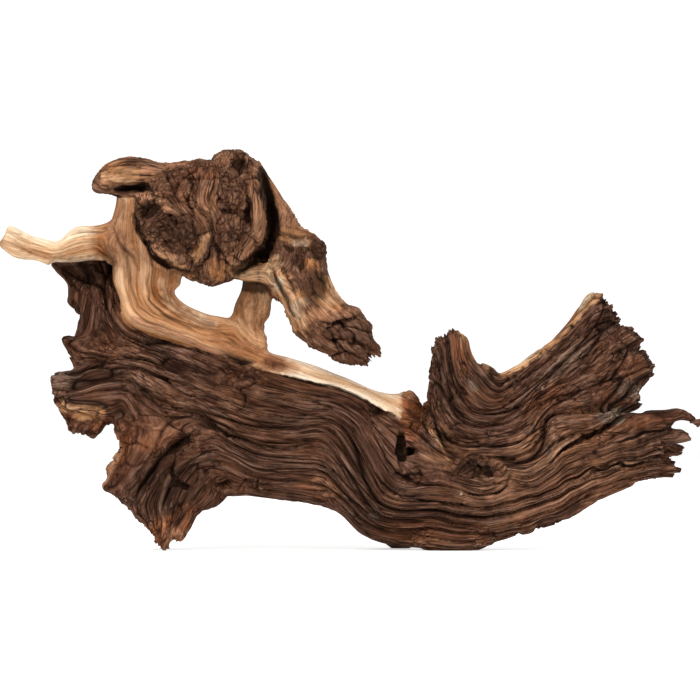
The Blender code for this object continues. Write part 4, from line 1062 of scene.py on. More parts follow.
# Size of the cells (length, width); how far their cracks stay alike (length, width) and how rare open
# ones are; tops (height, level that is left alone); step between cells; painted shade in the cracks
# (amount, rim); salts
PALE_LAYERS = [
    ((150.0, 15.0), (40.0, 9.0), 2, (2.2, 0.8), 2.2, (0.5, 0.08), (3, 5)),
    ((70.0, 5.0), (24.0, 6.0), 4, (0.4, 0.7), 0.3, (0.55, 0.14), (11, 15)),
]
here = np.flatnonzero(pale > FAINT)
up = np.full(len(here), PALE_RISE)
deep = np.zeros(len(here))
for size, alike, rarity, (top, level), step, (dark_and_shade, dark_rim), salts in PALE_LAYERS:
    gap, owner = stretched_cells(pale_grain, here, *size, salts[0])
    gape = openness(pale_grain, here, *alike, salts[1]) ** rarity
    up += top * (dome(gap, FLUTE_RIM) - level) + step * (owner - 0.5)
    deep = np.maximum(deep, dark_and_shade * gape * (1.0 - dome(gap, dark_rim)))
lift[here] += pale[here] * (up - CRACK_DEPTH * deep)
crack_shade[here] += pale[here] * deep
print("flutes from", round(float(up.min()), 1), "to", round(float(up.max()), 1), "mm")

# %% [markdown]
# ## The forms of the burl
#
# A burl grows from many small buds, so it has no straight grain: it is a heap of separate forms, some
# crumbling, some smooth, with folds between them that are painted dark as painted shade. The forms of
# this burl are listed as ovals on its front. Every point belongs to the form whose oval it is deepest
# in, which draws a fold wherever two forms meet, and the form says how high it stands and how far it
# has crumbled. The beak is laid out in the same way, and so are a few places of the trunk where a knot has
# broken the grain.

# %% Forms: x, z, half width, half height, turn in degrees, height, how far crumbled, fold depth
BURL_FORMS = [
    (-148, 249, 20, 4.5, -4, 1.4, 0.0, 0.8),
    (-147, 241.5, 13, 4.2, 0, 1.2, 0.0, 1.0),
    (-161, 240, 6, 7, 20, 0.6, 0.1, 1.0),
    (-138, 229, 14, 3.2, -12, 0.6, 0.1, 3.0),
    (-141, 217, 4, 8, 0, 0.2, 0.2, 2.0),
    (-114, 221, 14, 3.6, -24, 1.4, 0.1, 2.6),
    (-120, 207, 13, 8, -10, 1.6, 0.8, 2.2),
    (-104, 206, 7, 9, 0, 1.4, 0.9, 2.0),
    (-115, 197, 9, 5, 0, 1.2, 0.8, 1.4),
    (-128, 193, 8, 4, -40, 1.0, 0.1, 2.0),
    (-118, 238, 5, 7, -20, 1.2, 0.7, 3.0),
    (-109, 246, 8, 5.5, 0, 0.6, 0.9, 2.4),
    (-103, 233, 4.5, 9, 10, 0.8, 0.7, 3.2),
    (-94, 244, 9, 4.5, 12, 1.2, 0.1, 2.4),
    (-95, 222, 5, 15, -6, -0.2, 0.05, 1.4),
    (-87, 219, 2.8, 15, 0, 1.2, 0.05, 1.8),
    (-97, 194, 3.8, 11, -30, 1.8, 0.0, 3.6),
    (-108, 186, 9, 4.5, -35, 1.0, 0.0, 3.0),
    (-87, 183, 8, 8, 0, 1.4, 0.1, 3.4),
    (-76, 183, 5, 6, 0, 0.8, 0.4, 3.0),
    (-74, 229, 9, 9, 0, 1.4, 1.0, 3.6),
    (-76, 209, 8.5, 9, 0, 1.2, 1.0, 3.4),
    (-73, 196, 9, 5, 30, 1.0, 0.3, 2.0),
    (-60.5, 222, 4.2, 26, 8, 1.8, 0.0, 3.4),
    (-82, 255, 11, 5.5, 8, 1.2, 0.15, 1.6),
    (-72, 250, 6, 6, 0, 0.2, 1.0, 2.6),
    (-64, 247, 6, 9, 25, 0.8, 0.1, 2.4),
]
BEAK_FORMS = [
    (-36, 228, 12, 34, 32, 0.8, 0.0, 0.0),
    (-62, 181, 18, 7, 4, 0.8, 0.0, 0.0),
    (-38, 176, 14, 34, 28, 0.8, 0.0, 0.0),
    (-20, 194, 5.0, 7.0, 0, 2.6, 1.0, 4.0),
    (-34, 188, 4.2, 5.2, 0, 1.6, 0.9, 3.0),
    (-26, 171, 6, 9, 15, 1.0, 0.6, 1.6),
    (-12, 172, 10, 22, 25, 0.8, 0.05, 0.0),
    (-5, 152, 17, 4.0, 16, 2.4, 0.1, 3.4),
    (8, 146, 12, 3.4, -10, 2.2, 0.1, 3.4),
    (9, 138, 15, 3.6, -24, 2.4, 0.1, 3.4),
    (-7, 141, 9, 4.5, -16, 1.8, 0.3, 3.0),
    (-16, 135, 11, 5, -30, 1.8, 0.3, 3.2),
    (2, 131, 13, 3.2, -26, 2.0, 0.1, 3.0),
    (0, 124, 11, 3.6, -4, 2.0, 0.2, 3.4),
    (-25, 145, 8, 6, -40, 0.6, 0.2, 1.0),
]
TRUNK_FORMS = [
    (-70, 108, 7, 5, 30, 1.6, 0.5, 2.6),
    (-62, 99, 6, 8, -15, 1.4, 0.3, 2.6),
    (-74, 98, 5, 8, 20, 1.2, 0.2, 2.4),
    (-68, 118, 14, 4, -20, 0.4, 1.0, 2.2),
    (-84, 119, 8, 5, -20, 0.6, 0.8, 2.0),
    (70, 58, 7, 5, -30, 0.6, 0.9, 2.8),
    (80, 52, 8, 4, -10, 1.0, 1.0, 3.0),
    (92, 56, 7, 5, 20, 0.6, 0.9, 3.0),
    (93, 47, 9, 3, 15, 1.4, 0.1, 2.6),
    (84, 43, 12, 2.6, -8, 1.2, 0.0, 2.6),
    (38, 50, 8, 4, -10, 1.0, 0.7, 2.4),
    (52, 48, 8, 5, -20, 0.8, 0.5, 2.0),
    (-74, 43, 5, 4, 0, 0.6, 0.8, 2.0),
    (-65, 42, 6, 4, 0, 0.8, 1.0, 2.4),
    (-56, 42, 6, 4, 0, 0.8, 0.9, 2.4),
    (-183, 93, 6, 5, -30, 0.6, 0.1, 0.8),
    (-171, 88, 10, 5, 0, 0.6, 0.1, 0.8),
    (-159, 86, 7, 5, 10, 0.6, 0.1, 0.8),
    (-176, 80, 9, 4, -15, 0.8, 0.8, 2.6),
    (-163, 78, 7, 4, 15, 0.6, 0.8, 2.4),
    (-155, 77, 6, 5, 20, 0.8, 0.6, 2.4),
    (-144, 76, 7, 6, -10, 0.8, 0.4, 2.4),
    (-133, 76, 7, 6, 0, 0.6, 0.3, 2.0),
    (-150, 64, 6, 9, 10, 0.6, 0.4, 2.4),
    (-139, 64, 6, 8, -10, 0.6, 0.2, 2.0),
    (-155, 49, 6, 9, -15, 0.6, 0.7, 2.4),
    (-143, 49, 6, 9, -25, 0.6, 0.3, 2.0),
]
# %% Places of the trunk that have forms: x, z, half width, half height
TRUNK_PLACES = [
    (-71, 108, 17, 14), (83, 51, 22, 10), (45, 49, 14, 6), (-65, 42, 13, 4.5), (-172, 85, 17, 9),
    (-147, 66, 16, 18),
]

# %% Carving the forms
WOBBLE, WOBBLE_SIZE = 6.0, 7.0
FORM_RIM, FOLD_RIM = 0.4, 0.36
FULL_FOLD = 2.2
EDGE_OF_FORM = 1.2
LUMP_SIZE, LUMP_HEIGHT, LUMP_RIM, LUMP_LEVEL = 11.5, 3.0, 0.5, 0.72
LUMP_CRUMBLING = 0.8
CRUMB_SHARE = 0.65
CRUMB_CURL, CURL_SIZE = 1.2, 6.0
# Crumbs: size, height, painted shade in the cracks, salt; fibres: length, width, height, salt
CRUMBS = [(7.5, 2.8, 1.5, 41), (3.4, 1.2, 0.95, 43)]
FORM_FIBRES = [(60.0, 4.2, 1.0, 47), (30.0, 1.9, 0.5, 49)]


def forms_at(here, forms):
    """The gap between the two forms that a point is deepest in, how deep it is in the nearest, that
    form's height and crumbling, and the fold between the two, which is that of the shallower one."""
    wobble = np.column_stack([cloud(rest[here] / WOBBLE_SIZE, salt) for salt in (111, 113)]) - 0.5
    place = rest[here][:, [0, 2]] + WOBBLE * wobble
    table = np.array(forms, float)
    nearest = np.full(len(here), np.inf)
    second = nearest.copy()
    owner = np.zeros(len(here), int)
    other = owner.copy()
    for number, (mid_x, mid_z, half_width, half_height, turn) in enumerate(table[:, :5]):
        c, s = math.cos(math.radians(turn)), math.sin(math.radians(turn))
        u = ((place[:, 0] - mid_x) * c + (place[:, 1] - mid_z) * s) / half_width
        v = (-(place[:, 0] - mid_x) * s + (place[:, 1] - mid_z) * c) / half_height
        depth = np.hypot(u, v)
        other = np.where(depth < nearest, owner, np.where(depth < second, number, other))
        owner = np.where(depth < nearest, number, owner)
        second = np.minimum(second, np.maximum(depth, nearest))
        nearest = np.minimum(nearest, depth)
    fold = np.minimum(table[owner, 7], table[other, 7])
    return second - nearest, nearest, table[owner, 5], table[owner, 6], fold


def carve_forms(here, share, forms, grain):
    """Forms on the front, plain lumps in patches on the back; then curled crumbs where the form has
    crumbled and fibres where it has not."""
    gap, inside, high, crumbling, fold = forms_at(here, forms)
    facing = soft_step(-outward[here, 1], -0.15, 0.25)
    lumpy = (1.0 - facing) * soft_step(blotch[here], 0.42, 0.58)
    back_gap, _ = cells(rest[here] / LUMP_SIZE, 17)
    up = facing * (high * (1.0 - np.clip(inside, 0, EDGE_OF_FORM) ** 2)
                   + fold * (dome(gap, FORM_RIM) - TOP_LEVEL))
    up += lumpy * LUMP_HEIGHT * (dome(back_gap, LUMP_RIM) - LUMP_LEVEL)
    # How dark the folds and cracks are painted: painted shade.
    deep = facing * np.minimum(fold / FULL_FOLD, 1.0) * (1.0 - dome(gap, FOLD_RIM))
    deep += lumpy * 0.8 * (1.0 - dome(back_gap, 0.2))
    crumbling = CRUMB_SHARE * (facing * crumbling + lumpy * LUMP_CRUMBLING)
    curl = np.column_stack([cloud(rest[here] / CURL_SIZE, salt) - 0.5 for salt in (81, 82, 83)])
    for size, height, dark_and_shade, salt in CRUMBS:
        gap, owner = cells((rest[here] + CRUMB_CURL * size * curl) / size, salt)
        up += crumbling * (height * (dome(gap, 0.35) - TOP_LEVEL) + 0.7 * height * (owner - 0.5))
        deep = np.maximum(deep, dark_and_shade * crumbling * (1.0 - dome(gap, 0.26)))
    smooth = 1.0 - crumbling
    for length, width, height, salt in FORM_FIBRES:
        gap, owner = stretched_cells(grain, here, length, width, salt)
        gape = openness(grain, here, 18.0, 5.0, salt + 1)
        up += smooth * gape * (height * (dome(gap, 0.4) - 0.8) + 0.6 * height * (owner - 0.5))
        deep = np.maximum(deep, 0.7 * smooth * gape * (1.0 - dome(gap, 0.3)))
    lift[here] = (1.0 - share) * lift[here] + share * up
    crack_shade[here] = (1.0 - share) * crack_shade[here] + share * deep
    return crumbling


knotted = np.zeros(len(rest))
for mid_x, mid_z, half_width, half_height in TRUNK_PLACES:
    away = np.hypot((rest[:, 0] - mid_x) / half_width, (rest[:, 2] - mid_z) / half_height)
    knotted = np.maximum(knotted, soft_step(1.3 - away, 0.0, 0.5))
knotted *= bark * soft_step(-outward[:, 1], -0.2, 0.2)
crumbled = np.zeros(len(rest))
for kind_share, forms, grain in [(gnarled, BURL_FORMS, burl_grain), (weathered, BEAK_FORMS, beak_grain),
                                 (knotted, TRUNK_FORMS, bark_grain)]:
    here = np.flatnonzero(kind_share > FAINT)
    crumbled[here] += kind_share[here] * carve_forms(here, kind_share[here], forms, grain)
print("forms:", len(BURL_FORMS), "on the burl,", len(BEAK_FORMS), "on the beak,",
      len(TRUNK_FORMS), "on the trunk")

# %% Creases get painted shade, thin limbs are carved less, and the worn underside least
CREASE_SHADE, FULL_CRACK_DEPTH = 0.9, 2.6
LEAST_RELIEF = 0.25
WORN_AWAY, LOW_EDGE = 0.6, 9.0
crack_shade = np.maximum(crack_shade, CREASE_SHADE * np.clip(creased / FULL_CRACK_DEPTH, 0.0, 1.0))
lift *= np.clip(thickness / FULL_RELIEF_THICKNESS, LEAST_RELIEF, 1.0)
lift *= 1.0 - WORN_AWAY * soft_step(-outward[:, 2], 0.3, 0.9) * soft_step(LOW_EDGE - z, 0.0, LOW_EDGE)
print("relief from", round(float(lift.min()), 1), "to", round(float(lift.max()), 1), "mm")

# %% [markdown]
# ## Torn ends
#
# Where a limb was torn off, its fibres end at different lengths. The ends are easy to find: there the
# skin faces along the grain and not across it. Each bundle of fibres gets a random length, and the skin
# is moved along the grain by it, so the ends turn ragged while the sides stay as they are.

# %% Ragged fibre ends
TEAR = 7.0
BUNDLE_SIZE, THREAD_SIZE = (4.2, 5.0), (1.8, 2.2)
BUNDLE_SHARE, SHORTENED = 0.65, 0.6
torn = np.zeros(rest.shape)


def random_by_fibre(across, size, salt):
    """One random number for each bundle that runs along the grain; a size is (across, in depth)."""
    return cells(np.column_stack([np.zeros(len(rest)), across / size[0], y / size[1]]), salt)[1]


for grain, share, amount in [(bark_grain, bark, 1.0), (beak_grain, weathered, 1.6),
                             (burl_grain, gnarled, 0.2)]:
    across, _, direction = grain
    along_grain = (outward * direction).sum(axis=1)
    end = soft_step(np.abs(along_grain), 0.5, 0.85) * share
    ragged = (BUNDLE_SHARE * random_by_fibre(across, BUNDLE_SIZE, 61)
              + (1.0 - BUNDLE_SHARE) * random_by_fibre(across, THREAD_SIZE, 67) - SHORTENED)
    torn += direction * (np.sign(along_grain) * end * TEAR * amount * ragged)[:, None]
carved = rest + outward * lift[:, None] + torn
carved[:, 2] = np.maximum(carved[:, 2], 0.0)
write_points(skin.data, carved)
print("carved from", carved.min(axis=0).round(1), "to", carved.max(axis=0).round(1))

# %% [markdown]
# ## Where each colour lies
#
# Colour on old wood follows its history: bark wood is dark, stripped wood is cream where the sun
# reached it and honey brown where it did not, and wood behind torn bark is reddish. Deep places and the
# shade under and beside what stands out are painted nearly black, as painted shade. Every point notes
# how much of each tone it has. The kind of wood gives the first guess, soft ovals and strokes correct
# it where this root differs, and cloud noise frays every edge. Later rows lie over earlier ones, and all
# of them fade out on the back.

# %% Ovals: tone, strength, x, z, half width, half height, turn in degrees
# The dark tone is mostly painted shade in holes, crevices, folds and under what stands out, and in a few
# places darker wood.
CREAM, HONEY, TAN, RED, DARK_AND_SHADE, GREY = range(6)
OVALS = [
    # The pale root where it meets its branch, the pillar, the beak's upper edge, the fin, with painted
    # shade on the pale root and the fin
    (TAN, 0.6, -150, 205, 9, 20, 0), (DARK_AND_SHADE, 0.2, -147, 198, 12, 26, 0), (DARK_AND_SHADE, 0.15, -137, 183, 8, 14, 0),
    (TAN, 0.35, -138, 182, 9, 15, 0), (TAN, 0.4, -65, 156, 9, 17, 0), (HONEY, 0.5, -43, 228, 7, 24, 32),
    (DARK_AND_SHADE, 0.25, 62, 104, 12, 26, 0),
    # Nose and burl
    (TAN, 1.0, -148, 245, 22, 12, 0), (HONEY, 0.6, -152, 248, 14, 5, 0),
    (HONEY, 1.0, -148, 243, 13, 5, 0), (TAN, 0.7, -125, 251, 20, 5, 0),
    (TAN, 0.9, -130, 230, 12, 3.5, -10), (TAN, 0.6, -115, 221, 13, 4, -24),
    (TAN, 0.6, -92, 222, 8, 15, -4), (HONEY, 0.5, -88, 222, 2.5, 9, 0),
    (HONEY, 0.8, -96, 195, 4, 11, -28), (TAN, 0.9, -124, 192, 16, 8, -38),
    (HONEY, 0.6, -112, 184, 15, 4, -28), (TAN, 1.0, -86, 182, 11, 9, 0), (HONEY, 0.8, -83, 181, 8, 7, 0),
    (RED, 0.35, -88, 186, 5, 5, 0), (TAN, 0.9, -70, 192, 12, 6, 30), (RED, 0.5, -94, 245, 10, 5, 12),
    (TAN, 0.5, -84, 256, 9, 5, 8), (TAN, 0.7, -60, 222, 5, 28, 8), (HONEY, 0.4, -64, 203, 4, 12, -20),
    # Beak and its arm
    (TAN, 1.0, -44, 228, 10, 28, 32), (HONEY, 0.6, -38, 226, 4, 26, 32),
    (HONEY, 0.9, -38, 204, 12, 5, -15), (CREAM, 0.4, -33, 200, 6, 3, 0), (HONEY, 0.8, -24, 184, 4, 8, 40),
    (HONEY, 0.9, -65, 181, 14, 7, 6), (HONEY, 0.9, -48, 176, 9, 20, 28),
    (CREAM, 0.65, -42, 166, 4, 14, 30), (HONEY, 1.0, -36, 156, 12, 15, 30),
    (CREAM, 0.35, -33, 157, 9, 7, 20), (HONEY, 0.9, -15, 166, 10, 14, 30),
    (CREAM, 0.3, -12, 163, 5, 6, 30), (TAN, 0.8, -20, 152, 11, 6, -20), (TAN, 0.6, -23, 172, 7, 10, 15),
    (DARK_AND_SHADE, 0.85, -22, 171.5, 7.5, 10, 15), (TAN, 0.5, -4, 153, 14, 3, 16),
    # Left end and foot
    (RED, 1.0, -172, 84, 17, 8, -6), (HONEY, 0.7, -172, 88, 12, 4, -8), (HONEY, 0.8, -186, 93, 4, 5, -50),
    (RED, 0.6, -150, 62, 9, 20, -18), (TAN, 0.8, -157, 56, 4, 20, -14), (RED, 0.6, -126, 72, 14, 6, 20),
    (TAN, 0.4, -124, 76, 12, 5, 20), (RED, 1.0, -116, 14, 13, 9, 20), (TAN, 0.5, -113, 9, 10, 7, 0),
    (TAN, 0.7, -114, 10, 6, 7, 0), (RED, 0.6, -104, 26, 5, 5, 0),
    # Trunk, splinters, raised lobe and fin
    (RED, 0.4, -20, 41, 16, 7, -20), (TAN, 0.5, -17, 42, 10, 4, -35), (RED, 0.35, 60, 12, 40, 8, 0),
    (RED, 0.5, 155, 70, 22, 6, 25), (TAN, 0.4, 136, 44, 26, 10, 24), (RED, 0.4, 140, 38, 34, 12, 25),
    (RED, 0.35, 128, 100, 20, 8, 30), (RED, 0.4, 165, 40, 30, 6, 25), (RED, 0.5, 190, 84, 22, 5, 4),
    (TAN, 0.35, 122, 60, 10, 5, 35), (RED, 0.5, 72, 128, 5, 14, 10), (TAN, 0.6, 74, 134, 3, 8, 10),
    (TAN, 0.5, 57, 82, 3, 10, 60), (RED, 0.35, 184, 118, 10, 8, 0),
    # Greyed places, and warmer ones on the trunk
    (GREY, 1.0, 170, 87, 9, 5, 10), (GREY, 0.5, 182, 105, 10, 6, 0), (GREY, 0.35, 140, 122, 24, 5, 40),
    (GREY, 0.35, -185, 112, 9, 8, 0), (GREY, 0.5, 14, 23, 5, 4, 0), (TAN, 0.4, 62, 55, 16, 3, -25),
    (TAN, 0.35, 30, 34, 9, 5, 0), (TAN, 0.3, -110, 100, 40, 14, -30),
    # Shade under the branch and beside what stands out
    (DARK_AND_SHADE, 0.7, -176, 182, 20, 8, 0), (DARK_AND_SHADE, 0.3, -170, 172, 26, 12, 0), (DARK_AND_SHADE, 0.6, -156, 184, 6, 14, 0),
    (DARK_AND_SHADE, 0.6, -72, 120, 14, 6, -30), (DARK_AND_SHADE, 0.35, -66, 106, 8, 10, 0), (DARK_AND_SHADE, 0.45, -50, 92, 18, 8, 0),
    (DARK_AND_SHADE, 0.9, -64, 171, 13, 3.5, -6), (DARK_AND_SHADE, 0.55, -116, 46, 22, 22, -30),
    (DARK_AND_SHADE, 0.3, -92, 34, 14, 10, 0), (DARK_AND_SHADE, 0.4, 60, 112, 9, 22, 0), (DARK_AND_SHADE, 0.3, 56, 96, 8, 14, 0),
    (DARK_AND_SHADE, 0.25, 90, 90, 14, 8, 0), (DARK_AND_SHADE, 0.2, 40, 14, 50, 14, 0),
    # The knob at the end of the pale root, painted shade under and beside it, the warm right end
    (RED, 1.0, 41, 92, 8, 18, 0), (DARK_AND_SHADE, 0.5, 42, 89, 6, 12, 0), (TAN, 0.5, 38, 101, 4, 3, 0),
    (DARK_AND_SHADE, 0.8, 49, 84, 3, 10, 0), (TAN, 0.6, -43, 120, 11, 5, -15), (RED, 0.4, -49, 121, 9, 6, 0),
    (TAN, 0.45, 132, 54, 62, 30, 18),
    # Painted shade in holes, crevices and deep folds, with two warm places between them
    (DARK_AND_SHADE, 0.95, 33, 67, 1.8, 9.5, -8), (DARK_AND_SHADE, 0.85, 38, 64.5, 5, 1.8, 20),
    (DARK_AND_SHADE, 0.6, -34, 87, 5, 2.2, 0), (DARK_AND_SHADE, 0.75, 84, 53, 13, 6, -8), (DARK_AND_SHADE, 0.9, -130, 220, 8, 5.5, 0),
    (DARK_AND_SHADE, 0.85, -141, 233.5, 12, 2.4, 2), (DARK_AND_SHADE, 0.5, -115, 205, 18, 12, 0),
    (DARK_AND_SHADE, 0.8, -70, 249, 5, 4.5, 0), (TAN, 0.4, -70, 217, 7, 20, 0), (DARK_AND_SHADE, 0.75, -20.5, 194, 5, 6.5, 0),
    (DARK_AND_SHADE, 0.6, -34, 188, 4.5, 5.5, 0), (DARK_AND_SHADE, 0.2, -26, 162, 9, 9, 0), (DARK_AND_SHADE, 0.2, 3, 138, 18, 14, -25),
    (DARK_AND_SHADE, 0.25, 202, 78, 14, 6, 0), (RED, 0.35, -75, 133, 22, 7, -15), (DARK_AND_SHADE, 0.7, -111, 69, 12, 5, 35),
    (DARK_AND_SHADE, 0.65, -129, 49, 4.5, 15, -35), (DARK_AND_SHADE, 0.35, -176, 98, 12, 3, 0),
    # Small specks
    (CREAM, 0.9, 72, 37, 1.1, 0.8, 0), (CREAM, 0.9, 74, 31, 0.9, 0.7, 0),
    (CREAM, 0.9, 125, 105, 1.2, 1.0, 45), (GREY, 0.7, 128, 65, 3, 2, 45), (GREY, 0.6, 80, 107, 4, 4, 0),
]

# %% Strokes: tone, strength, half width, and the points (x, z) that the stroke runs through
STROKES = [
    (HONEY, 1.0, 4.8, [(102, 117), (113, 125), (124, 132), (131, 139), (140, 149), (150, 158), (159, 167)]),
    (CREAM, 0.7, 2.4, [(107, 121), (117, 129), (127, 137), (136, 146), (146, 156), (157, 167)]),
    (HONEY, 0.7, 1.8, [(70, 143), (77, 134), (80, 126), (90, 120)]),
    (TAN, 0.8, 2.0, [(-154, 77), (-148, 71), (-152, 56), (-160, 42)]),
    (HONEY, 0.7, 1.6, [(-187, 98), (-183, 92), (-172, 93), (-160, 90)]),
    (TAN, 0.8, 2.2, [(-140, 150), (-122, 143), (-104, 136), (-85, 127), (-66, 119)]),
    (TAN, 0.6, 1.6, [(-55, 205), (-38, 218), (-48, 237), (-58, 250)]),
    (CREAM, 0.45, 4.0, [(-121, 174), (-119, 163), (-106, 153), (-90, 147)]),
    (HONEY, 0.6, 1.6, [(47, 88), (53, 78), (60, 68), (64, 60)]),
    # The two dark strokes are painted shade: the gap between the burl and the beak, and the crease along
    # the lower left edge of the burl.
    (DARK_AND_SHADE, 0.95, 3.6, [(-57, 246), (-54, 232), (-50, 218), (-49, 205), (-55, 193), (-64, 187), (-73, 181)]),
    (DARK_AND_SHADE, 0.8, 1.6, [(-140, 217), (-137, 206), (-130, 197), (-124, 189), (-114, 184), (-102, 180)]),
]

# %% Covering a place with a tone
EDGE_FRAY, COARSE_FRAY, FINE_FRAY = 0.9, 7.0, 2.6
COVER_REACH, COVER_FADE = 1.35, 0.7
FAR_OUTSIDE = 9.0
fray = 0.5 * cloud(rest / COARSE_FRAY, 91) + 0.5 * cloud(rest / FINE_FRAY, 95)


def soft_cover(depth):
    """1 where the depth is well under 1, 0 outside, with an edge that cloud noise frays."""
    return soft_step(COVER_REACH - depth + EDGE_FRAY * (fray - 0.5), 0.0, COVER_FADE)


def oval(x, z, half_width, half_height, turn):
    """The cover of a turned oval: its depth is the distance from the middle, as a share of its edge's."""
    c, s = math.cos(math.radians(turn)), math.sin(math.radians(turn))
    u = ((rest[:, 0] - x) * c + (rest[:, 2] - z) * s) / half_width
    v = (-(rest[:, 0] - x) * s + (rest[:, 2] - z) * c) / half_height
    return soft_cover(np.hypot(u, v))


def stroke(half_width, line):
    """The cover of a brush stroke: its depth is the distance from the line, as a share of the width."""
    here = near_line(line, 3 * half_width)
    depth = np.full(len(rest), FAR_OUTSIDE)
    depth[here] = beside(rest[here][:, [0, 2]], line)[0] / half_width
    return soft_cover(depth)


# %% First guess: the sunny strip and branch are cream, patches too; weathered and gnarled wood is tan
STRIP_START, BRANCH_END = -45.0, -158.0
BRANCH_CREAM, PATCHY_CREAM = 0.8, 0.3
WEATHERED_TAN, CRUMBLED_TAN, SMOOTH_TAN = 0.3, 0.22, 0.18
tones = np.zeros((6, len(rest)))
tones[HONEY] = pale
in_the_sun = soft_step(rest[:, 0], STRIP_START - 15, STRIP_START + 5)
in_the_sun = np.maximum(in_the_sun, BRANCH_CREAM * soft_step(-rest[:, 0], -BRANCH_END, -BRANCH_END + 14))
tones[CREAM] = pale * np.maximum(in_the_sun, PATCHY_CREAM * soft_step(blotch, 0.45, 0.65))
tones[TAN] = WEATHERED_TAN * weathered + gnarled * (CRUMBLED_TAN + SMOOTH_TAN * (1.0 - crumbled))
on_front = soft_step(-outward[:, 1], -0.6, -0.1)

# %% Painting the ovals and strokes
TONE_FRAY = 0.35


def paint(tone, cover):
    """Lays a tone over the four that colour the wood itself; the dark tone, mostly painted shade, and grey
    lie on top of them all.
    """
    if tone in (CREAM, HONEY, TAN, RED):
        tones[[CREAM, HONEY, TAN, RED]] *= 1.0 - cover
    tones[tone] = np.maximum(tones[tone], cover)


for tone, strength, *place in OVALS:
    paint(tone, strength * oval(*place) * on_front)
for tone, strength, half_width, line in STROKES:
    paint(tone, strength * stroke(half_width, line) * on_front)
for tone in (CREAM, HONEY, TAN):
    tones[tone] = soft_step(tones[tone] + TONE_FRAY * (fray - 0.5), 0.1, 0.9)
print("mean tones:", tones.mean(axis=1).round(3))

# %% Notes that the material reads
CURL_ACROSS, CURL_ALONG, CURL_WIDTH = 7.0, 3.0, 5.0
HEIGHT_PASSES, HEIGHT_OF_HOLLOWS = 24, 2.0
WEATHERED_WEAR, GNARLED_WEAR = 0.5, 0.7
grains = [bark_grain, pale_grain, burl_grain, beak_grain]
main = np.column_stack([bark, pale, gnarled, weathered]).argmax(axis=1)
curls = np.column_stack([cloud(rest / CURL_WIDTH, salt) - 0.5 for salt in (131, 137)])
curls *= CURL_ACROSS * crumbled[:, None]
across = np.choose(main, [grain[0] for grain in grains]) + curls[:, 0]
along = np.choose(main, [grain[1] for grain in grains]) + CURL_ALONG * curls[:, 1]
# How far each point stands above or below its neighbours; the material lightens what stands high, partly as
# painted highlight.
height = lift - spread(lift, HEIGHT_PASSES)
# The cavity note is painted shade: cracks and places lower than their neighbours are darkened.
cavity_shade = np.clip(np.maximum(crack_shade, -height / HEIGHT_OF_HOLLOWS), 0.0, 1.0)
stripped = pale + WEATHERED_WEAR * weathered * (1.0 - crumbled) + GNARLED_WEAR * gnarled * tones[HONEY]
stripped = np.clip(stripped, 0.0, 1.0)
write_note(skin.data, "fibre", np.column_stack([along, across, y]))
write_note(skin.data, "light_tones", tones[[CREAM, HONEY, TAN]].T)
write_note(skin.data, "other_tones", tones[[RED, DARK_AND_SHADE, GREY]].T)
write_note(skin.data, "surface", np.column_stack([cavity_shade, height, stripped]))
write_note(skin.data, "crumbled", crumbled)

# %% [markdown]
# ## The material
#
# One material covers the root, because its kinds of wood fade into each other. It reads the notes on
# the points: the fibre note is a position measured along and across the grain, so noise that is
# stretched on it draws streaks that follow every bend of the root. Colour comes from blends, one for
# each tone, and the roughness and the finest bump come from the same streaks. Where the wood has
# crumbled there are no fibres to see, so the note of that calms the streaks and the bump.

# %% Node helpers
def colour(red, green, blue):
    """A colour that is given as it looks on a screen, from 0 to 255, as the shader wants it."""
    screen = np.array([red, green, blue]) / 255.0
    return (*np.where(screen <= 0.04045, screen / 12.92, ((screen + 0.055) / 1.055) ** 2.4), 1.0)


wood = bpy.data.materials.new("weathered_root_wood")
wood.use_nodes = True
nodes, links = wood.node_tree.nodes, wood.node_tree.links
shader = nodes["Principled BSDF"]


def put(socket, value):
    """Joins a node's output to a socket, or sets the socket's own value."""
    if isinstance(value, bpy.types.NodeSocket):
        links.new(value, socket)
    else:
        socket.default_value = value


def note(name):
    """The three numbers of a note, and the note as one vector."""
    node = nodes.new("ShaderNodeAttribute")
    node.attribute_name = name
    parts = nodes.new("ShaderNodeSeparateXYZ")
    put(parts.inputs[0], node.outputs["Vector"])
    return *parts.outputs, node.outputs["Vector"]


def stretched(vector, sizes):
    """The place divided by a size for each of its three directions."""
    node = nodes.new("ShaderNodeVectorMath")
    node.operation = "DIVIDE"
    put(node.inputs[0], vector)
    put(node.inputs[1], sizes)
    return node.outputs[0]


def streaks(vector, sizes, detail=4.0, roughness=0.6):
    """Cloud noise of these sizes along the fibre, across it and in depth."""
    node = nodes.new("ShaderNodeTexNoise")
    put(node.inputs["Vector"], stretched(vector, sizes))
    put(node.inputs["Scale"], 1.0)
    put(node.inputs["Detail"], detail)
    put(node.inputs["Roughness"], roughness)
    return node.outputs["Fac"]


def maths(operation, first, second):
    """One sum, product or comparison of two numbers."""
    node = nodes.new("ShaderNodeMath")
    node.operation = operation
    put(node.inputs[0], first)
    put(node.inputs[1], second)
    return node.outputs[0]


def weighted(first, share, second):
    """A share of the first, and of the second what is left."""
    return maths("ADD", maths("MULTIPLY", first, share), maths("MULTIPLY", second, 1.0 - share))


def steps(value, start, end, low=0.0, high=1.0):
    """From low at the start to high at the end, with a slope that is level at both."""
    node = nodes.new("ShaderNodeMapRange")
    node.interpolation_type = "SMOOTHSTEP"
    for name, number in zip(("Value", "From Min", "From Max", "To Min", "To Max"),
                            (value, start, end, low, high)):
        put(node.inputs[name], number)
    return node.outputs["Result"]


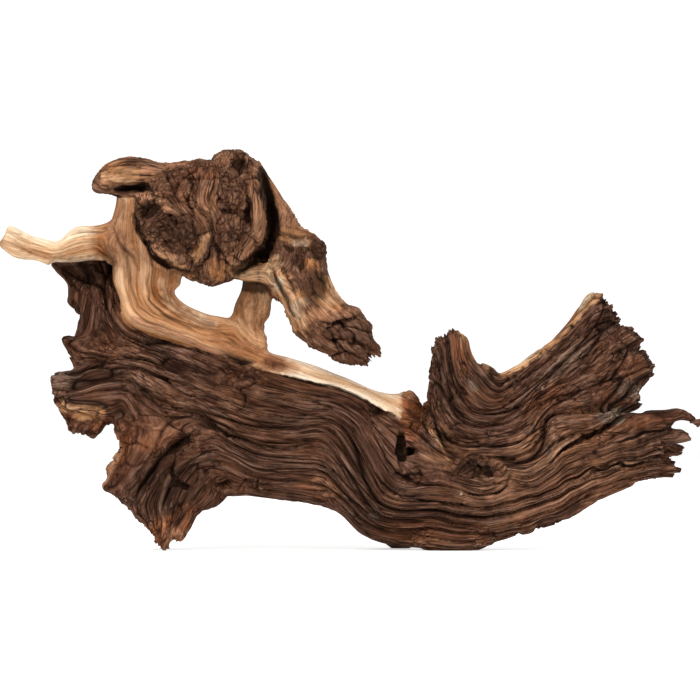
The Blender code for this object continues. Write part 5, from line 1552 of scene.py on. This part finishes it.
def blend(share, first, second, how="MIX"):
    """The first colour where the share is 0 and the second where it is 1."""
    node = nodes.new("ShaderNodeMix")
    node.data_type = "RGBA"
    node.blend_type = how
    put(node.inputs["Factor"], share)
    put(node.inputs["A"], first)
    put(node.inputs["B"], second)
    return node.outputs["Result"]


def ramp(value, stops):
    """A colour read from stops, each with the value that it stands at."""
    node = nodes.new("ShaderNodeValToRGB")
    bar = node.color_ramp.elements
    while len(bar) < len(stops):
        bar.new(0.5)
    for element, (place, shade) in zip(bar, stops):
        element.position = place
        element.color = shade
    put(node.inputs[0], value)
    return node.outputs["Color"]


def splits(vector, sizes, width, fade_sizes):
    """Thin cracks: 1 on the walls between stretched cells, where a slow noise lets them open."""
    node = nodes.new("ShaderNodeTexVoronoi")
    node.feature = "DISTANCE_TO_EDGE"
    put(node.inputs["Vector"], stretched(vector, sizes))
    put(node.inputs["Scale"], 1.0)
    wall = steps(node.outputs["Distance"], 0.0, width, 1.0, 0.0)
    return maths("MULTIPLY", wall, steps(streaks(vector, fade_sizes, detail=2.0), 0.42, 0.6))


# %% Streaks, cracks and clouds that all the colours share
cream, honey, tan, _ = note("light_tones")
red, dark_and_shade, grey, _ = note("other_tones")
cavity_shade, height_note, stripped_note, _ = note("surface")
crumbled_note = note("crumbled")[0]
fibre = note("fibre")[3]
place = nodes.new("ShaderNodeTexCoord").outputs["Object"]
wide_streaks = streaks(fibre, (70.0, 5.0, 6.0), detail=6.0, roughness=0.65)
broad_streaks = streaks(fibre, (130.0, 11.0, 12.0), detail=4.0, roughness=0.6)
fine_streaks = streaks(fibre, (22.0, 0.9, 1.3), detail=5.0, roughness=0.75)
hair_streaks = streaks(fibre, (9.0, 0.4, 0.5), detail=3.0, roughness=0.7)
clouds = streaks(place, (0.035, 0.035, 0.035), detail=5.0)
specks = streaks(place, (0.0011, 0.0011, 0.0011), detail=4.0, roughness=0.7)
narrow_cracks = splits(fibre, (48.0, 2.7, 3.2), 0.13, (26.0, 6.0, 7.0))
hair_cracks = splits(fibre, (20.0, 1.3, 1.6), 0.2, (12.0, 4.0, 5.0))
cracks = maths("MAXIMUM", narrow_cracks, maths("MULTIPLY", hair_cracks, 0.7))

# %% [markdown]
# Bark wood is a dark grey brown, warmer in patches. Wherever the skin stands high, as on the tops of
# the ridges, a purple cast lightens it: partly the worn wood's own colour, partly painted highlight.
# Cracks and hollows are painted nearly black, as painted shade. Stripped wood is cream or honey with
# brown streaks along the fibre, most of them broad, because its fibres are worn. Tan is what lies
# between them on the burl and the beak, and red is the wood that was last under bark.

# %% The woods and how they blend
CALMED, CRUMB_TONE = 0.8, 0.465
mixed_streaks = weighted(fine_streaks, 0.6, wide_streaks)
calm = maths("MULTIPLY", crumbled_note, CALMED)
to_middle = maths("SUBTRACT", CRUMB_TONE, mixed_streaks)
mixed_streaks = maths("ADD", mixed_streaks, maths("MULTIPLY", calm, to_middle))
bark_wood = ramp(mixed_streaks, [(0.36, colour(42, 19, 9)), (0.46, colour(81, 50, 35)),
                                 (0.55, colour(113, 81, 65)), (0.66, colour(150, 119, 101))])
bark_wood = blend(steps(clouds, 0.45, 0.65, 0.0, 0.6), bark_wood,
                  ramp(mixed_streaks, [(0.36, colour(56, 25, 9)), (0.5, colour(112, 70, 46)),
                                       (0.66, colour(160, 120, 92))]))
tan_wood = ramp(mixed_streaks, [(0.32, colour(98, 58, 38)), (0.5, colour(168, 118, 86)),
                                (0.68, colour(216, 168, 134))])
worn_streaks = weighted(fine_streaks, 0.35, broad_streaks)
honey_wood = ramp(worn_streaks, [(0.34, colour(98, 52, 22)), (0.43, colour(148, 95, 56)),
                                 (0.52, colour(182, 132, 92)), (0.64, colour(214, 170, 130))])
cream_wood = ramp(worn_streaks, [(0.34, colour(160, 112, 74)), (0.43, colour(202, 162, 124)),
                                 (0.52, colour(234, 204, 172)), (0.64, colour(248, 228, 202))])
red_wood = ramp(mixed_streaks, [(0.32, colour(80, 36, 16)), (0.5, colour(142, 80, 46)),
                                (0.7, colour(208, 150, 104))])
grey_wood = ramp(mixed_streaks, [(0.32, colour(88, 74, 60)), (0.5, colour(138, 119, 102)),
                                 (0.7, colour(166, 148, 130))])
mixed = blend(tan, bark_wood, tan_wood)
mixed = blend(honey, mixed, honey_wood)
mixed = blend(cream, mixed, cream_wood)
mixed = blend(maths("MULTIPLY", red, steps(wide_streaks, 0.36, 0.54)), mixed, red_wood)
mixed = blend(maths("MULTIPLY", grey, steps(fine_streaks, 0.35, 0.55)), mixed, grey_wood)
# What stands high is lightened: partly the worn wood's own colour, partly painted highlight.
mixed = blend(steps(height_note, 0.0, 1.6, 0.0, 0.3), mixed, colour(150, 125, 112), "SCREEN")
mixed = blend(steps(specks, 0.56, 0.7, 0.0, 0.4), mixed, colour(36, 22, 15))
# Painted shade: the thin cracks are darkened nearly to black, less on stripped wood.
crack_share = steps(stripped_note, 0.0, 1.0, 0.95, 0.25)
mixed = blend(maths("MULTIPLY", cracks, crack_share), mixed, colour(26, 8, 2))
# The hollows are painted nearly black: painted shade.
hollow_shade = maths("MULTIPLY", cavity_shade, steps(stripped_note, 0.0, 1.0, 1.0, 0.8))
mixed = blend(hollow_shade, mixed, colour(20, 6, 1))
# The dark tone is painted shade where it lies in hollows, gaps and under what stands out.
mixed = blend(maths("MULTIPLY", dark_and_shade, 0.9), mixed, colour(20, 7, 2))
put(shader.inputs["Base Color"], mixed)

# %% [markdown]
# Dry wood is matt. The stripped parts are smoother than bark, and the fibres catch the light one by
# one, which three bumps on top of each other give: cracks, streaks and hairs, in metres. They are
# small, because everything larger is carved in the skin.

# %% Roughness and the finest fibres
CRACK_BUMP = 0.0011
STREAK_BUMP = 0.0008
HAIR_BUMP = 0.0003
put(shader.inputs["Roughness"], steps(hair_streaks, 0.3, 0.7, 0.65, 0.92))
put(shader.inputs["Specular IOR Level"], 0.06)
normal = None
roughened = maths("MULTIPLY", steps(stripped_note, 0.0, 1.0, 0.8, 0.35),
                  steps(crumbled_note, 0.0, 1.0, 1.0, 0.3))
for strength, distance, level in [(roughened, CRACK_BUMP, maths("SUBTRACT", 1.0, cracks)),
                                  (roughened, STREAK_BUMP, fine_streaks), (0.6, HAIR_BUMP, hair_streaks)]:
    bump = nodes.new("ShaderNodeBump")
    put(bump.inputs["Strength"], strength)
    put(bump.inputs["Distance"], distance)
    put(bump.inputs["Height"], level)
    if normal:
        put(bump.inputs["Normal"], normal)
    normal = bump.outputs["Normal"]
put(shader.inputs["Normal"], normal)
skin.data.materials.clear()
skin.data.materials.append(wood)

# %% [markdown]
# ## Cutting the skin into pieces
#
# The skin has close to a million triangles, which is too much for one mesh file. It is cut by level and
# upright planes, and every piece is closed with a flat face where it was cut. Both sides of a cut have
# the same points, and they keep the directions that the whole skin had there, so no seam shows.

# %% Pieces: name, and the planes that bound it, each with a place (mm) and the direction that is kept
UP, DOWN, RIGHT, LEFT = (0, 0, 1), (0, 0, -1), (1, 0, 0), (-1, 0, 0)
UNDER_BURL, BEAK_SIDE = (0, 0, 176), (-52, 0, 0)
NECK_SIDE, WAIST_SIDE, BELLY_SIDE, FORK_SIDE = (-104, 0, 0), (-22, 0, 0), (52, 0, 0), (118, 0, 0)
CUTS = [
    ("root_upper_beak", [(UNDER_BURL, UP), (BEAK_SIDE, RIGHT)]),
    ("root_burl", [(UNDER_BURL, UP), (BEAK_SIDE, LEFT)]),
    ("root_left_end", [(UNDER_BURL, DOWN), (NECK_SIDE, LEFT)]),
    ("root_waist", [(UNDER_BURL, DOWN), (NECK_SIDE, RIGHT), (WAIST_SIDE, LEFT)]),
    ("root_belly", [(UNDER_BURL, DOWN), (WAIST_SIDE, RIGHT), (BELLY_SIDE, LEFT)]),
    ("root_fork", [(UNDER_BURL, DOWN), (BELLY_SIDE, RIGHT), (FORK_SIDE, LEFT)]),
    ("root_splinters", [(UNDER_BURL, DOWN), (FORK_SIDE, RIGHT)]),
]
# The stations are measured from the middle of the drawing, the solid from the middle of its own box
SHIFT = (-0.514, 4.106, 0.0)


def cut_from(mesh, name, planes):
    """The part of a mesh on the kept side of every plane, closed with a flat face at each."""
    work = bmesh.new()
    work.from_mesh(mesh)
    for place, direction in planes:
        everything = [*work.verts, *work.edges, *work.faces]
        cut = bmesh.ops.bisect_plane(work, geom=everything, plane_co=[v * MM for v in place],
                                     plane_no=direction, clear_inner=True)["geom_cut"]
        rim = [item for item in cut if isinstance(item, bmesh.types.BMEdge) and item.is_boundary]
        bmesh.ops.holes_fill(work, edges=rim, sides=0)
    made = bpy.data.meshes.new(name)
    work.to_mesh(made)
    work.free()
    return made


write_note(skin.data, "skin_normal", read_normals(skin.data))
meshes = [cut_from(skin.data, name, planes) for name, planes in CUTS]

# %% Pieces that stand for the solid
def closed(mesh):
    """True where every edge has two faces."""
    corners = np.empty(len(mesh.loops), np.int64)
    mesh.loops.foreach_get("edge_index", corners)
    return bool((np.bincount(corners, minlength=len(mesh.edges)) == 2).all())


for mesh in meshes:
    directions = np.empty(len(mesh.vertices) * 3, np.float32)
    mesh.attributes["skin_normal"].data.foreach_get("vector", directions)
    directions = directions.reshape(-1, 3)
    directions /= np.linalg.norm(directions, axis=1)[:, None] + TINY
    mesh.attributes.remove(mesh.attributes["skin_normal"])
    write_points(mesh, read_points(mesh) + SHIFT)
    mesh.shade_smooth()
    mesh.normals_split_custom_set_from_vertices(directions.tolist())
    mesh.materials.clear()
    mesh.materials.append(wood)
    piece = bpy.data.objects.new(mesh.name, mesh)
    bpy.context.scene.collection.objects.link(piece)
    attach(piece, "root")
    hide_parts(NODE)
    triangles = sum(len(face.vertices) - 2 for face in mesh.polygons)
    print(piece.name, triangles, "triangles, closed:", closed(mesh))
bpy.data.objects.remove(skin)

# %% [markdown]
# ## Floor, light and camera
#
# The root is shown as a catalogue would: on a round pale floor that bends up at its rim, like a wide
# dish, so that from every side there is paper behind it and no wall in front of it. The paper glows a
# little, as a lit table does, which keeps it pale far from the lamps. A big soft light stands at the
# upper left, weaker ones at the right and behind, and a pale sky fills the cracks. The camera looks
# level at the front through a long lens, which keeps the outline as flat as in the photograph.

# %% A round floor that bends up at its rim
FLOOR_RADIUS, BEND_RADIUS, RIM_TOP = 4.6, 0.4, 0.75
FLOOR_SIDES, FLAT_RINGS, BEND_RINGS = 96, 4, 13
PAPER_ROUGHNESS, PAPER_GLOW = 0.9, 0.55
WHITE = (1.0, 1.0, 1.0, 1.0)
# The profile gives radius and height from the middle to the rim, and is turned round the upright axis
flat_radii = np.linspace(0.0, FLOOR_RADIUS, FLAT_RINGS + 2)[1:-1]
turn = np.linspace(0.0, math.pi / 2, BEND_RINGS)
profile = np.vstack([np.column_stack([flat_radii, np.zeros(FLAT_RINGS)]),
                     np.column_stack([FLOOR_RADIUS + BEND_RADIUS * np.sin(turn),
                                      BEND_RADIUS * (1 - np.cos(turn))]),
                     [FLOOR_RADIUS + BEND_RADIUS, RIM_TOP]])
angle = np.arange(FLOOR_SIDES) / FLOOR_SIDES * math.tau
rings = np.stack([profile[:, :1] * np.cos(angle), profile[:, :1] * np.sin(angle),
                  np.broadcast_to(profile[:, 1:], (len(profile), FLOOR_SIDES))], axis=-1)
here = np.arange(FLOOR_SIDES)
there = (here + 1) % FLOOR_SIDES
ring_start = np.arange(len(profile) - 1)[:, None] * FLOOR_SIDES
bands = np.stack([ring_start + here, ring_start + there, ring_start + FLOOR_SIDES + there,
                  ring_start + FLOOR_SIDES + here], -1).reshape(-1, 4)
middle = rings.size // 3
fan = np.column_stack([np.full(FLOOR_SIDES, middle), there, here])
faces = bands[:, ::-1].tolist() + fan[:, ::-1].tolist()
mesh = bpy.data.meshes.new("studio_floor")
mesh.from_pydata(np.vstack([rings.reshape(-1, 3), np.zeros(3)]).tolist(), [], faces)
mesh.shade_smooth()
floor = bpy.data.objects.new("studio_floor", mesh)
bpy.context.scene.collection.objects.link(floor)
paper = bpy.data.materials.new("studio_paper")
paper.use_nodes = True
paper_shader = paper.node_tree.nodes["Principled BSDF"]
paper_shader.inputs["Base Color"].default_value = colour(206, 206, 205)
paper_shader.inputs["Roughness"].default_value = PAPER_ROUGHNESS
paper_shader.inputs["Emission Color"].default_value = WHITE
paper_shader.inputs["Emission Strength"].default_value = PAPER_GLOW
floor.data.materials.append(paper)

# %% Soft square lights that face the root: name, place (m), width (m), power (W); and a pale sky
LIGHTS = [
    ("window_left", (-1.1, -1.5, 1.9), 1.2, 60.0),
    ("fill_right", (1.8, -1.6, 0.9), 1.6, 24.0),
    ("fill_back", (0.7, 2.2, 1.6), 1.6, 26.0),
]
MIDDLE = (0.0, 0.0, 0.13)
SKY_STRENGTH = 0.55
for name, place, width, power in LIGHTS:
    lamp = bpy.data.lights.new(name, "AREA")
    lamp.size = width
    lamp.energy = power
    light = bpy.data.objects.new(name, lamp)
    bpy.context.scene.collection.objects.link(light)
    light.location = place
    light.rotation_euler = (light.location - Vector(MIDDLE)).to_track_quat("Z", "Y").to_euler()
sky = bpy.data.worlds.new("pale_sky")
sky.use_nodes = True
sky.node_tree.nodes["Background"].inputs["Color"].default_value = WHITE
sky.node_tree.nodes["Background"].inputs["Strength"].default_value = SKY_STRENGTH
bpy.context.scene.world = sky
bpy.context.scene.view_settings.view_transform = "Standard"

# %% Camera
PICTURE_WIDTH, CAMERA_DISTANCE, FURTHEST_SEEN = 0.455, 4.0, 50.0
SENSOR_WIDTH = 36.0
camera_data = bpy.data.cameras.new("camera")
camera_data.sensor_width = SENSOR_WIDTH
camera_data.lens = SENSOR_WIDTH * CAMERA_DISTANCE / PICTURE_WIDTH
camera_data.clip_end = FURTHEST_SEEN
camera = bpy.data.objects.new("camera", camera_data)
bpy.context.scene.collection.objects.link(camera)
camera.location = (SHIFT[0] * MM, -CAMERA_DISTANCE, MIDDLE[2])
camera.rotation_euler = (math.pi / 2, 0.0, 0.0)
bpy.context.scene.camera = camera
